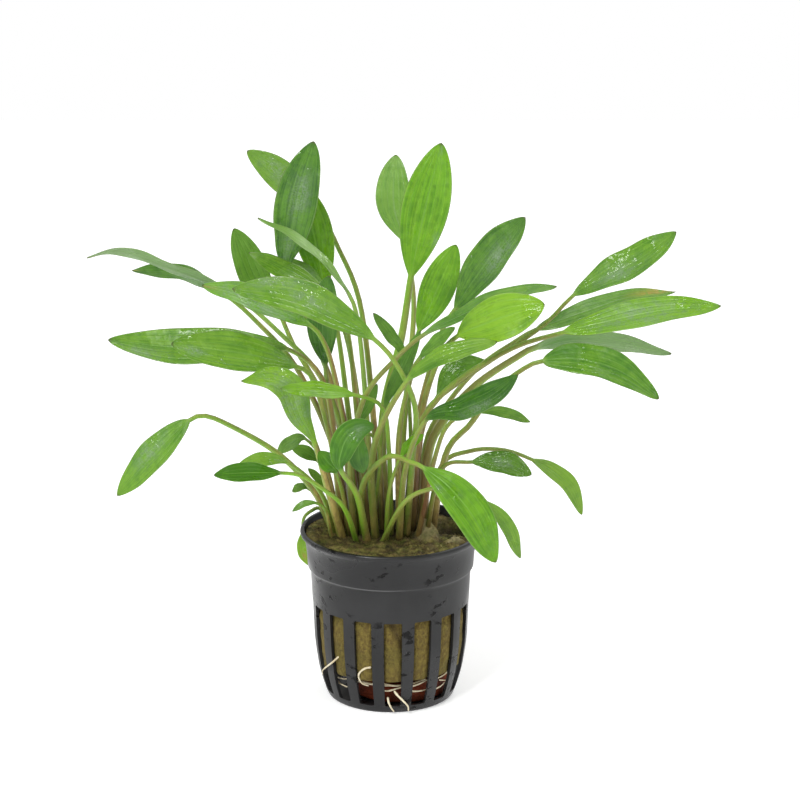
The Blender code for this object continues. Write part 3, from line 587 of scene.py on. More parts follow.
LEAVES: dict[str, list[Leaf]] = {"leaf_left": [
    Leaf(8.0, 112.0, GREY, (-10.5, 7.0), [(-13, 68, 8), (-20, 92, 9), (-34, 107.5, 8)],
         [(-48, 119.2, 7), (-58, 123.3, 6), (-69, 127, 5), (-82, 131.3, 4), (-91, 129.2, 3)],
         LeafCare(0.2, 0.2, 0.2, 0.7, 0.5, 0.05, ((SHADE, 0.15, 0.5, 0.2), (SPOT, 1.0, 0.0, 0.06)))),
    Leaf(8.5, 55.0, DARK, (-13.0, 10.0), [(-17, 72, 12.8), (-28, 96, 14), (-40, 110, 14.5)],
         [(-50, 118.5, 15), (-62.5, 124.4, 15), (-77.6, 125.6, 14)],
         LeafCare(0.7, 0.0, 0.2, 0.8, 0.6, 0.03, ((SPOT, 1.0, 0.0, 0.06),))),
    Leaf(9.5, 42.0, BRIGHT, (-9.5, 0.5), [(-12, 70, -3), (-17, 95, -4), (-20, 104, -4)],
         [(-24, 109, -5), (-34, 113.8, -6), (-46, 118.6, -8), (-56.5, 121, -10)],
         LeafCare(0.35, 0.1, 0.2, 0.95, 0.75, 0.03, ((SPOT, 1.0, 0.0, 0.1), (GLAZE, 0.55, 0.0, 0.4)))),
    Leaf(12.8, 30.0, MIDDLE, (-13.5, 3.5), [(-16, 68, 0.3), (-20, 92, 0)],
         [(-31, 102, 2), (-46, 102.8, 4), (-66, 102.5, 6), (-84.7, 104.8, 6)],
         LeafCare(0.35, 0.3, 0.9, 0.95, 0.7, 0.02, ((GLAZE, 0.8, -0.6, 0.14), (GLAZE, 0.45, 0.5, 0.12)))),
    Leaf(12.5, 25.0, MIDDLE, (-14.8, 0.9), [(-17, 70, -7), (-23, 92, -10)],
         [(-28.5, 96.8, -11), (-42, 100.2, -13), (-54, 101.9, -15), (-65.8, 103.5, -17)],
         LeafCare(0.25, 0.35, 1.0, 0.8, 0.5, 0.025, ((GLAZE, 0.85, -0.3, 0.12), (GLAZE, 0.05, 0.4, 0.14)))),
], "leaf_upper_left": [
    Leaf(12.0, 32.0, MIDDLE, (4.8, -2.9), [(6.5, 68, -9), (7.5, 84, -14), (2, 97, -16)],
         [(-5, 105, -17), (-16, 112, -19), (-30, 118, -21), (-47.5, 120, -24)],
         LeafCare(0.2, 0.3, 0.8, 0.35, 0.3, 0.02, ((GLAZE, 0.72, 0.75, 0.16), (GLAZE, 0.5, 0.1, 0.14)))),
    Leaf(10.0, 15.0, MIDDLE, (-3.5, 12.0), [(-5, 80, 21), (-9, 115, 30), (-16, 133, 32)],
         [(-21, 142, 33), (-32.5, 153.5, 33), (-43, 161.5, 32)],
         LeafCare(0.05, 0.3, 0.3, 0.6, 0.5, 0.02, ((GLAZE, 0.6, 0.2, 0.25),))),
    Leaf(13.2, -12.0, DARK, (-9.5, 10.0), [(-14, 80, 14), (-23, 106, 17)],
         [(-31, 126, 18), (-29.5, 138, 18), (-27, 151, 19), (-23, 164.3, 20)],
         LeafCare(0.65, 0.1, 1.0, 0.7, 0.6, 0.02, ((GLAZE, 0.58, 0.1, 0.16), (GLAZE, 0.15, 0.0, 0.12)))),
    Leaf(12.0, 0.0, BRIGHT, (-6.0, 11.0), [(-9, 80, 17.5), (-13, 105, 23)],
         [(-19.2, 120, 26), (-21.7, 130, 27), (-24, 141, 27), (-27, 152, 28)],
         LeafCare(0.35, 0.3, 0.4, 0.4, 0.3, 0.02, ((SHADE, 0.45, -0.7, 0.22),))),
    Leaf(8.0, 71.0, GREY, (-5.5, 4.0), [(-7, 80, 5), (-9.5, 108, 6)],
         [(-12.5, 118.5, 6), (-20.5, 128.5, 7), (-30, 136, 8), (-39.8, 141.4, 8)],
         LeafCare(0.0, 0.3, 0.4, 0.5, 0.4)),
    Leaf(10.0, 10.0, DARK, (-12.5, 13.0), [(-19, 84, 19), (-29, 103, 23)],
         [(-33.8, 113.6, 26), (-40, 122.3, 27), (-43.6, 130.7, 27), (-47, 138.2, 28)],
         LeafCare(0.0, 0.3, 0.5, 0.6, 0.6)),
    Leaf(9.0, 48.0, MIDDLE, (-7.5, 7.0), [(-10, 82, 9), (-13, 108, 10)],
         [(-17.5, 117, 10), (-29, 123.7, 11), (-42.5, 131, 12)], LeafCare(0.15, 0.4, 0.6, 0.7, 0.7)),
    Leaf(7.0, 45.0, MIDDLE, (-9.0, 13.5), [(-13, 86, 17.5), (-16, 108, 20)],
         [(-19, 118, 20), (-27, 125.5, 21.5), (-35.5, 129, 23)],
         LeafCare(0.3, 0.2, 0.9, 0.5, 0.5, 0.03, ((GLAZE, 0.5, 0.0, 0.25),))),
    Leaf(9.5, -5.0, DARK, (-11.2, 4.2), [(-14, 75, 6.5), (-18.8, 91, 5)],
         [(-19.5, 97.5, 4), (-20.4, 106, 3), (-20, 115, 3), (-18.5, 124, 4)],
         LeafCare(0.7, 0.0, 0.1, 0.5, 0.4, 0.015)),
], "leaf_top": [
    Leaf(11.0, -15.0, GREY, (2.0, 12.5), [(4, 80, 21), (7, 115, 30)],
         [(3.9, 134.6, 34), (1.3, 143.5, 35), (0.9, 151.5, 36), (1.6, 160.3, 38)],
         LeafCare(0.1, 0.3, 0.4, 0.6, 0.5, 0.02)),
    Leaf(14.5, 0.0, BRIGHT, (-0.5, 8.0), [(-2.6, 70, 10), (-1.4, 87, 13), (3.2, 105, 17)],
         [(6.2, 124, 18), (9, 138, 19), (12, 151, 20), (15.3, 163.8, 22)],
         LeafCare(0.22, 0.2, 0.5, 0.3, 0.0, 0.01, ((GLAZE, 0.95, 0.2, 0.06), (GLAZE, 0.3, 0.9, 0.06))),
         thick=1.5),
    Leaf(10.5, 0.0, BRIGHT, (2.5, 5.0), [(4, 78, 7), (6, 97, 8)],
         [(8.6, 107.5, 8), (12, 115.1, 9), (16.1, 125, 9), (19.7, 133.3, 10)],
         LeafCare(0.25, 0.2, 0.3, 0.3, 0.2, 0.02, ((SHADE, 0.5, 0.9, 0.16),))),
    Leaf(12.0, -25.0, DARK, (4.5, 8.5), [(8, 80, 6), (15, 106, 4)],
         [(19.5, 114, 4), (24.5, 122, 3.5), (32, 132, 3), (40.5, 141.5, 2)],
         LeafCare(0.5, 0.2, 0.9, 0.7, 0.7, 0.03, ((GLAZE, 0.6, 0.35, 0.18),))),
], "leaf_middle_right": [
    Leaf(9.0, -60.0, GREY, (-10.9, -3.3), [(-12, 68, -9), (-8, 87, -13), (1, 98.5, -12)],
         [(10, 106.3, -10), (22, 112.4, -8), (36, 118.3, -7), (49.9, 120.9, -6)],
         LeafCare(0.5, 0.1, 0.3, 0.25, 0.2, 0.03, ((SHADE, 0.25, 0.3, 0.2),))),
    Leaf(13.5, -8.0, BRIGHT, (6.5, 1.5), [(9, 80, -3), (14.5, 99, -9)],
         [(20.3, 106, -14), (29, 109.8, -17), (38, 113, -19), (46.3, 115.4, -20)],
         LeafCare(0.0, 0.7, 0.3, 0.7, 0.6, 0.02, ((SHADE, 0.1, -0.6, 0.1),))),
    Leaf(7.5, -42.0, MIDDLE, (-4.5, -5.0), [(-5.8, 66, -10), (-2.6, 79.5, -16)],
         [(5.5, 93, -19), (13, 98.5, -21), (22, 101.8, -22), (32, 104.2, -23)],
         LeafCare(0.1, 0.5, 0.4, 0.25, 0.0, 0.03, ((SHADE, 0.3, 0.6, 0.18),)), thick=1.15),
    Leaf(5.0, -40.0, DARK, (2.7, -2.2), [(2.5, 75, -8), (6, 93, -11)],
         [(9, 99.5, -13), (13.8, 104, -14), (19.3, 108.5, -15)]),
    Leaf(8.0, -25.0, DARK, (8.5, 10.0), [(9, 75, 14)],
         [(14.3, 88, 16.5), (20, 95.5, 17.6), (28.3, 98.7, 18.6)]),
    Leaf(10.0, -42.0, DARK, (2.5, -5.5), [(4.5, 66, -15)],
         [(11, 81, -22), (21, 83.8, -25), (30, 87.8, -27), (38.4, 94.2, -28)],
         LeafCare(0.8, 0.0, 0.2, 0.3, 0.2, 0.02, ((GLAZE, 0.55, 0.5, 0.16),))),
    Leaf(4.0, -35.0, MIDDLE, (8.0, -3.9), [(13.5, 70, -12), (18, 80, -15)],
         [(26.5, 83.2, -17), (34.5, 82.8, -18), (42, 80.1, -19)], thick=0.8),
], "leaf_right": [
    Leaf(11.3, -36.0, MIDDLE, (5.6, 11.2), [(6.6, 74, 9.5), (12, 85, 8), (25.4, 95.4, 4), (45, 108.4, 0)],
         [(55, 118.2, -1), (64.5, 123.8, -2), (75, 129.1, -3), (85.8, 137.2, -4)],
         LeafCare(0.4, 0.2, 1.0, 0.3, 0.2, 0.03, ((GLAZE, 0.4, 0.2, 0.22),)), thick=0.85),
    Leaf(7.5, -34.0, GREY, (9.6, 6.6), [(10.5, 73, 12), (17, 85.5, 13), (27, 97, 14), (37, 104, 12)],
         [(44, 108, 12), (60, 113.8, 12), (72, 117.6, 12), (85.6, 119.2, 12)],
         LeafCare(0.3, 0.2, 0.3, 0.35, 0.4, 0.03, ((SPOT, 0.84, -0.2, 0.13), (SPOT, 0.9, -0.7, 0.1),
                  (SHADE, 0.1, -0.5, 0.14))), thick=0.9, twist=-20.0, skew=0.85),
    Leaf(11.0, -40.0, BRIGHT, (2.4, 0.9), [(5, 70, -5), (15, 88, -9), (35, 101.5, -11)],
         [(52, 107, -11), (66, 110.4, -12), (82, 113.6, -13), (99.2, 115, -14)],
         LeafCare(0.15, 0.5, 0.4, 0.45, 0.5, 0.02, ((GLAZE, 0.5, 0.2, 0.35),)), skew=0.95),
    Leaf(9.0, -130.0, GREY, (9.8, 2.6), [(11.3, 70, 1), (15.6, 80, 0), (25.6, 91.2, -1), (38.5, 99.9, -1)],
         [(44, 102.6, -1), (56, 104.8, -2), (70, 103.2, -3), (84.3, 100.6, -4)],
         LeafCare(0.2, 0.3, 0.3, 0.5, 0.1, 0.03, ((SHADE, 0.15, 0.0, 0.22),)), thick=1.45, skew=0.85),
    Leaf(11.5, -35.0, MIDDLE, (12.6, -1.0),
         [(16.5, 70.2, -6), (24, 79.5, -9), (31, 89, -12), (39.5, 95.8, -16)],
         [(45.8, 98.4, -18), (57, 98.9, -19), (69.5, 95, -21), (80.5, 87, -23)],
         LeafCare(0.55, 0.2, 0.5, 0.4, 0.3, 0.03, ((SHADE, 0.15, -0.5, 0.2),)), skew=0.78),
], "leaf_heart": [
    Leaf(9.5, 0.0, BRIGHT, (-14.5, -4.0), [(-19, 61, -10)],
         [(-22.8, 74, -15), (-27, 81.5, -17), (-30, 89.5, -18), (-36, 92.8, -19), (-44.8, 92.5, -20)],
         LeafCare(0.1, 0.7, 0.2, 1.0, 0.0, 0.03, ((GLAZE, 0.45, -0.2, 0.4), (SHADE, 0.35, 0.7, 0.16))),
         thick=1.25, twist=60.0, skew=1.35),
    Leaf(6.5, 42.0, BRIGHT, (0.3, -1.4), [(-0.5, 72, -9), (-2.5, 84.5, -12)],
         [(-11, 88.3, -17), (-21, 89.5, -22), (-33, 90, -25)], LeafCare(0.05, 0.5, 0.3, 0.2, 0.1),
         thick=0.8),
    Leaf(4.0, 20.0, DARK, (6.0, 5.0), [(6, 78, 0)], [(4, 99, -4), (0, 106, -4), (-5.2, 112.8, -5)],
         thick=0.7),
    Leaf(4.5, 0.0, DARK, (-2.5, 2.0), [(-3, 70, -3)], [(-1.5, 85, -6), (3.5, 96, -8), (9, 107.5, -8)],
         thick=0.8),
    Leaf(8.0, 0.0, BRIGHT, (-7.0, -6.3), [(-10, 58, -15)],
         [(-15, 66, -22), (-14.6, 71.7, -24), (-12.5, 76, -24), (-9, 78.3, -23), (-4.8, 79, -22)],
         LeafCare(0.9, 0.0, 0.2, 0.35, 0.0, 0.02, ((SHADE, 0.85, 0.0, 0.28), (GLAZE, 0.72, 0.2, 0.16))),
         thick=1.1),
    Leaf(3.5, 0.0, DARK, (-6.2, 0.7), [(-8.5, 66, -1)], [(-9.3, 79, -4), (-6.8, 85, -5), (-4, 91.5, -6)],
         thick=0.7),
    Leaf(6.0, 0.0, DARK, (-5.6, -1.8), [(-4.2, 58, -5), (-3.2, 69, -9), (-5.2, 75.8, -13)],
         [(-8.6, 75.8, -15.5), (-9.6, 70.3, -17), (-8.1, 64.7, -17)], LeafCare(0.6, 0.0, 0.3, 0.1, 0.1),
         thick=0.6),
    Leaf(5.5, 0.0, BRIGHT, (-12.5, -1.0), [(-14, 57, -8)],
         [(-16.3, 65, -17), (-18.8, 68, -18), (-21.5, 71.3, -18)], LeafCare(0.6, 0.0, 0.1, 0.6, 0.0),
         thick=0.7),
    Leaf(3.5, -20.0, BRIGHT, (-1.3, -5.8), [(-0.4, 59, -12)],
         [(3.3, 70, -14), (6.3, 73.7, -14.5), (10, 76.3, -15)], LeafCare(0.2, 0.2, 0.2, 0.0, 0.1),
         thick=0.7),
], "leaf_low_left": [
    Leaf(10.0, 30.0, MIDDLE, (-17.0, 1.5),
         [(-23, 59.4, -3), (-34, 70.8, -4), (-48.5, 79.2, -5), (-56, 82, -6)],
         [(-60.5, 80.5, -7), (-65.2, 76.3, -8), (-72.9, 68.2, -9), (-82, 58, -9)],
         LeafCare(0.35, 0.2, 0.3, 0.5, 0.4, 0.02, ((GLAZE, 0.5, 0.3, 0.16),)), skew=0.92),
    Leaf(6.0, 42.0, MIDDLE, (-16.3, -1.5), [(-21, 59, -8)],
         [(-31, 68, -12), (-39, 68.5, -14), (-47, 65.3, -16)], LeafCare(0.1, 0.6, 0.4, 0.3, 0.2, 0.02),
         thick=0.8),
    Leaf(7.5, 40.0, BRIGHT, (-10.0, -6.5), [(-14, 54.5, -14), (-21, 60.5, -19), (-27, 64, -21)],
         [(-33, 64.8, -22), (-43, 64.8, -23), (-53, 64.2, -24)],
         LeafCare(1.0, 0.0, 0.6, 0.0, 0.1, 0.02, ((SHADE, 0.5, 0.0, 0.5),)), thick=0.8),
    Leaf(4.2, 10.0, GREY, (-15.5, 6.5), [(-19, 66, 4)], [(-25.5, 75, 2), (-30, 73.8, 1), (-34, 70.8, 1)],
         thick=0.6),
    Leaf(4.5, 20.0, MIDDLE, (-16.5, 9.0), [(-18, 62, 10)],
         [(-22, 68.5, 10), (-26, 71.2, 10), (-29.5, 72, 10)], thick=0.6),
    Leaf(3.0, 30.0, DARK, (-18.2, 4.6), [(-21, 56.5, 3)],
         [(-25, 60.3, 2), (-27.3, 60.5, 2), (-29.5, 59.2, 2)], thick=0.6),
    Leaf(2.5, 10.0, MIDDLE, (-15.4, 3.9), [(-17.5, 57, 1)],
         [(-20, 61, 0), (-22.2, 63.7, 0), (-24.7, 66.2, 0)], thick=0.6),
    Leaf(2.4, 30.0, GREY, (-17.5, -4.0), [(-19.5, 53.5, -8)],
         [(-22.5, 55.8, -10), (-26, 55.5, -11), (-29.5, 53.3, -11)], thick=0.6),
    Leaf(4.0, 30.0, BRIGHT, (-18.5, 8.5), [(-21, 54, 9), (-23.8, 53.4, 9), (-26, 51.2, 9)],
         [(-26.4, 47, 9), (-26.2, 41.5, 9), (-24.5, 37, 8.5)],
         LeafCare(0.0, 1.3, 0.1, 0.05, 0.0, 0.02, ((SPOT, 0.7, 0.0, 0.12),)), thick=0.6),
], "leaf_low_right": [
    Leaf(12.0, -22.0, BRIGHT, (-8.3, -1.7), [(-8.3, 61, -11), (-1, 69.6, -18), (6, 68, -24)],
         [(10, 66.3, -27), (18, 60, -31), (25.5, 50.5, -33), (31.6, 38, -33)],
         LeafCare(0.3, 0.1, 0.7, 0.0, 0.1, 0.015, ((GLAZE, 0.22, 0.6, 0.06),))),
    Leaf(5.5, -38.0, MIDDLE, (-2.9, -7.6), [(4, 55.8, -18), (12, 60, -22), (21, 60, -24)],
         [(28, 56.3, -25), (32, 52.8, -25), (35.5, 47.8, -25), (39, 39.2, -25)],
         LeafCare(0.1, 0.5, 0.3, 0.1, 0.1, 0.02), thick=0.8),
    Leaf(7.5, -25.0, DARK, (10.6, -2.6), [(15, 65.5, -9)],
         [(24.5, 68.1, -11), (33, 68, -12), (37.6, 66.6, -13), (42.3, 64.3, -13)],
         LeafCare(0.1, 0.3, 1.0, 0.4, 0.3, 0.02, ((GLAZE, 0.5, 0.0, 0.2),)), thick=0.8),
    Leaf(6.5, -38.0, MIDDLE, (12.2, 1.2), [(15, 66.5, -2), (23.9, 71.4, -3), (34, 71.7, -4)],
         [(42.7, 68.7, -5), (49.2, 65, -6), (54.4, 59.9, -6), (57.4, 52.3, -6)],
         LeafCare(0.0, 0.7, 0.3, 0.3, 0.2, 0.02), thick=0.8, skew=0.92),
]}


@dataclass
class FrontView:
    """The view that the leaf places are given in, which is also the camera's."""

    distance: float = 900.0
    tilt: float = math.radians(16.5)
    aim: Vector = field(default_factory=lambda: Vector((2.85, 0.0, 93.0)))
    aim_up: float = 86.7
    lens: float = 135.0

    def viewer(self) -> Vector:
        """Place of the viewer in millimetres."""
        return self.aim - Vector((0.0, math.cos(self.tilt), -math.sin(self.tilt))) * self.distance

    def seen(self, across: float, up: float, back: float) -> Vector:
        """Find a point of the view at a depth.

        Args:
            across: Distance right of the pot's axis, as seen.
            up: Distance above the pot's foot, as seen.
            back: Distance behind the pot's axis.

        Returns:
            The point in millimetres.
        """
        rise = up - self.aim_up
        side = across - self.aim.x
        sin_tilt, cos_tilt = math.sin(self.tilt), math.cos(self.tilt)
        ray = Vector((side, self.distance * cos_tilt + rise * sin_tilt,
                      rise * cos_tilt - self.distance * sin_tilt))
        viewer = self.viewer()
        return viewer + ray * ((back - viewer.y) / ray.y)

    def direction(self, point: Vector) -> Vector:
        """Unit vector from the viewer to a point."""
        return (point - self.viewer()).normalized()


@dataclass(frozen=True)
class WoolFinish(Finish):
    """Green and ochre mineral wool, wet, with algae on its top."""

    ochre: Colour = (0.105, 0.072, 0.016)
    mustard: Colour = (0.168, 0.126, 0.026)
    brown: Colour = (0.050, 0.032, 0.010)
    olive: Colour = (0.092, 0.084, 0.016)
    moss: Colour = (0.100, 0.106, 0.020)
    straw: Colour = (0.300, 0.250, 0.075)
    earth: Colour = (0.110, 0.080, 0.028)
    # dark is the colour of the painted shade and shadow on the wool
    dark: Colour = (0.020, 0.014, 0.008)
    pale: Colour = (0.520, 0.440, 0.250)
    roughness: float = 0.72
    gloss: float = 0.3
    relief_depth: float = 0.0006

    def shader(self, bench: Bench) -> Node:
        """Lay fibrous sides, a mossy top, its pale places and its painted shade.

        Args:
            bench: The material's nodes.

        Returns:
            The last shader.
        """
        grain = bench.noise(1500.0, 3.0)
        clumps = bench.noise(330.0, 3.0)
        fields = bench.noise(85.0, 2.0)
        fibres = bench.noise(1050.0, 3.0, bench.stretched(1.0, 1.0, 0.6))
        side = bench.mix(fibres.step(0.34, 0.68), self.ochre, self.mustard)
        side = bench.mix(fields.step(0.42, 0.66) * 0.4, side, self.olive)
        side = bench.mix(grain.step(0.46, 0.30) * 0.6, side, self.brown)
        # painted shade in the front crease of the wool's side
        side = bench.mix(bench.mark("fold") * 0.75, side, self.brown)
        crown = bench.mix(clumps.step(0.35, 0.62), self.moss, self.earth)
        crown = bench.mix(fields.step(0.46, 0.62) * 0.45, crown, self.brown)
        # one noise lays pale straw flecks, partly the fibres' colour and partly painted light, and dark
        # flecks of painted shade between them
        lit = bench.noise(420.0, 4.0)
        crown = bench.mix(lit.step(0.44, 0.72) * 0.65, crown, self.straw)
        crown = bench.mix(lit.step(0.47, 0.30) * 0.75, crown, self.dark)
        colour = bench.mix(bench.mark("top"), side, crown)
        colour = bench.mix(bench.mark("pale") * (clumps * 0.9 + 0.2), colour, self.pale)
        # painted shadow in the hollow and under the crown of stalks
        colour = bench.mix(bench.mark("painted_shadow"), colour, self.dark)
        relief = grain * 0.6 + clumps * 1.0 + fibres * 0.3
        return self.skin(bench, colour, self.roughness + grain * 0.25, relief)


@dataclass
class RockWool:
    """Lumpy plug of wool that fills the pot, with loose fibres on its top.

    A lump is its x, y, rise and spread, and a pale place or a place of painted
    shadow its x, y and spread. A grain is a height and a size of the roughness.
    """

    foot: float = 9.6
    top: float = 50.2
    edge: float = 49.6
    edge_swell: float = 2.3
    swell_turn: float = math.radians(202.0)
    rounding: float = 1.2
    lumps: Table = ((-4.0, 4.0, 1.2, 13.0), (10.0, 2.5, 1.6, 4.0), (18.0, 7.0, -2.5, 5.5))
    loose_lumps: Table = (
        (-23.5, -3.0, 1.9, 8.0), (-12.0, -20.0, 1.1, 8.0), (10.6, -3.0, 5.2, 3.1), (19.9, -7.6, 1.6, 2.6),
        (4.0, -17.0, 0.8, 7.0), (20.0, 6.5, -3.2, 6.0))
    pale_lumps: Table = ((10.6, -3.0, 3.6), (19.9, -7.6, 2.0), (17.9, -8.1, 1.3))
    pale_strength: float = 0.85
    # places of painted shadow: a hollow beside the stalks and the wool under the crown of stalks
    hollows: Table = ((18.5, 6.5, 6.6), (-2.0, 5.0, 11.0))
    hollow_strength: float = 0.9
    side_clearance: float = 0.3
    side_grains: Table = ((0.32, 4.0), (0.10, 1.0))
    side_sink: float = 0.15
    top_grains: Table = ((1.05, 5.0), (0.55, 1.7), (0.20, 0.6))
    top_rise: float = 0.2
    edge_share: float = 0.95
    slot_bulge: float = 0.75
    bulge_start: float = 1.0
    bulge_ease: float = 1.6
    crease: Table = ((-0.6, 30.5), (3.6, 21.8))
    crease_ends: tuple[float, float] = (-0.2, 1.15)
    crease_depth: float = 0.8
    crease_spread: float = 0.7
    crease_slope: float = 0.12
    columns: int = 232
    bottom_rows: int = 6
    side_rows: int = 44
    top_rows: int = 52
    fibre_count: int = 5200
    fibre_batch: int = 130
    fibre_length: tuple[float, float] = (0.5, 1.7)
    fibre_lean: tuple[float, float] = (0.5, 1.5)
    fibre_radius: float = 0.075
    fibre_taper: float = 0.3
    fibre_lift: float = 0.3
    fibre_margin: float = 1.2
    marks: tuple[str, ...] = ("top", "painted_shadow", "pale", "fold")
    octaves: int = 3
    octave_step: float = 2.1
    octave_fade: float = 1.0
    seed: int = 11

    def height(self, x: float, y: float) -> float:
        """Find the top of the wool over a point, without its fine roughness.

        Args:
            x: Distance to the right in millimetres.
            y: Distance back in millimetres.

        Returns:
            The height in millimetres.
        """
        height = self.top
        for *spot, rise, spread in self.lumps:
            height += rise * nearness(x, y, spot, spread, 2)
        return height

    def _rough(self, point: Vector, grains: Table) -> float:
        """Roughness of the wool at a point, as a height around zero."""
        octaves = (self.octave_fade, self.octave_step, self.octaves)
        return sum(height * noise.fractal(point / size, *octaves) for height, size in grains)

    def _side_radius(self, pot: "NetPot", height: float) -> float:
        """Radius of the plug's side at a height, clear of the pot."""
        return pot.inside(height) - self.side_clearance

    def _edge_height(self, angle: float) -> float:
        """Height of the plug's edge, which swells up to the lip on one side."""
        return self.edge + self.edge_swell * max(math.cos(angle - self.swell_turn), 0.0)

    def _side_point(self, pot: "NetPot", angle: float, height: float) -> Vector:
        """Find a point of the side with its roughness and its crease.

        Args:
            pot: The pot round the plug.
            angle: Turn around the axis.
            height: Height in millimetres.

        Returns:
            The point.
        """
        radius = self._side_radius(pot, height)
        flat = turned(radius, angle, height)
        radius += self._rough(flat, self.side_grains) - self.side_sink
        pitch = math.tau / pot.slot_count
        offset = (angle - pot.front_slot + 0.5 * pitch) % pitch - 0.5 * pitch
        opening = max(1.0 - (2.0 * offset / pot.slot_angle) ** 2, 0.0) ** 0.5
        depth_below = min(max((pot.slotted[0][1] + self.bulge_start - height) / self.bulge_ease, 0.0), 1.0)
        radius += self.slot_bulge * opening * depth_below
        radius -= self.crease_depth * self._creased(flat)
        return turned(radius, angle, height)

    def _creased(self, point: Vector) -> float:
        """Find how deep in the front crease a point of the side lies.

        Args:
            point: The point.

        Returns:
            1 in the middle of the crease, 0 away from it.
        """
        (left_x, left_z), (right_x, right_z) = self.crease
        share = (point.z - left_z) / (right_z - left_z)
        if point.y > 0.0 or not self.crease_ends[0] < share < self.crease_ends[1]:
            return 0.0
        away = (point.x - left_x - (right_x - left_x) * share) / self.crease_spread
        return math.exp(-away * away * (1.0 if away < 0.0 else self.crease_slope))

    def _top_point(self, angle: float, radius: float, edge_height: float, share: float) -> Vector:
        """Find a point of the lumpy top.

        Args:
            angle: Turn around the axis.
            radius: Distance from the axis.
            edge_height: Height of the plug's edge.
            share: 1 at the edge and 0 at the middle.

        Returns:
            The point.
        """
        x, y = radius * math.cos(angle), radius * math.sin(angle)
        rough = self._rough(Vector((x, y, 0.0)), self.top_grains)
        level = self.height(x, y)
        for *spot, rise, spread in self.loose_lumps:
            level += rise * nearness(x, y, spot, spread, 3)
        drop = max((share - self.edge_share) / (1.0 - self.edge_share), 0.0) ** 2
        return Vector((x, y, level + rough + self.top_rise - drop * max(level - edge_height, 0.0)))

    def _grow_fibres(self, mesh: BMesh, reach: float) -> None:
        """Strew short fibres over the top, in batches that stay quick as the mesh grows.

        Args:
            mesh: The plug's mesh, in millimetres.
            reach: Greatest distance of a fibre from the axis.
        """
        chance = random.Random(self.seed)
        for _ in range(self.fibre_count // self.fibre_batch):
            batch = bmesh.new()
            layers = {name: batch.verts.layers.float.new(name) for name in self.marks}
            for _ in range(self.fibre_batch):
                radius, angle = reach * math.sqrt(chance.random()), chance.uniform(0.0, math.tau)
                base = self._top_point(angle, radius, self._edge_height(angle), radius / (reach + 1.0))
                length = chance.uniform(*self.fibre_length)
                place = (Matrix.Translation(base) @ Matrix.Rotation(chance.uniform(0.0, math.tau), 4, "Z")
                         @ Matrix.Rotation(chance.uniform(*self.fibre_lean), 4, "X")
                         @ Matrix.Translation((0.0, 0.0, self.fibre_lift * length)))
                bmesh.ops.create_cone(batch, cap_ends=True, segments=3, radius1=self.fibre_radius,
                                      radius2=self.fibre_taper * self.fibre_radius, depth=length,
                                      matrix=place)
            for point in batch.verts:
                self._mark(point, layers)
            data = bpy.data.meshes.new("fibre_batch")
            batch.to_mesh(data)
            batch.free()
            mesh.from_mesh(data)
            bpy.data.meshes.remove(data)

    def _mark(self, point: BMVert, layers: dict[str, BMLayerItem]) -> None:
        """Mark a point of the top for the finish.

        Args:
            point: The point, in millimetres.
            layers: Layers by their names.
        """
        point[layers["top"]] = 1.0
        # painted shadow and pale lumps, each falling off from its place
        for name, strength, places in (("painted_shadow", self.hollow_strength, self.hollows),
                                       ("pale", self.pale_strength, self.pale_lumps)):
            for *spot, spread in places:
                share = strength * nearness(point.co.x, point.co.y, spot, spread, 4)
                point[layers[name]] = max(point[layers[name]], share)

    def build(self, pot: "NetPot") -> None:
        """Build the plug.

        Args:
            pot: The pot round the plug.
        """
        mesh = bmesh.new()
        layers = {name: mesh.verts.layers.float.new(name) for name in self.marks}
        foot_radius = self._side_radius(pot, self.foot) - self.rounding
        low = self.bottom_rows
        high = low + self.side_rows
        start = self.foot + self.rounding

        def place(point: BMVert, angle: float, row: int) -> None:
            """Move one point of the plug's skin."""
            edge = self._edge_height(angle)
            if row < low:
                point.co = turned(foot_radius * row / low, angle, self.foot)
            elif row <= high:
                share = (row - low) / self.side_rows
                point.co = self._side_point(pot, angle, start + (edge - start) * share)
                # the crease's depth, which the finish also paints as shade
                point[layers["fold"]] = self._creased(point.co)
            else:
                share = 1.0 - (row - high) / self.top_rows
                point.co = self._top_point(angle, self._side_radius(pot, edge) * share, edge, share)
                self._mark(point, layers)

        rolled_sheet(mesh, self.columns, high + self.top_rows, place)
        self._grow_fibres(mesh, self._side_radius(pot, self.edge) - self.fibre_margin)
        bmesh.ops.scale(mesh, vec=(MM, MM, MM), verts=mesh.verts)
        piece = make_piece("rock_wool", mesh, WoolFinish().make("wet_rock_wool"))


class Section(NamedTuple):
    """One section of a leaf: its place, its axes and its shape."""

    centre: Vector
    across: Vector
    outward: Vector
    half_width: float
    half_thickness: float
    fold: float
    roundness: float


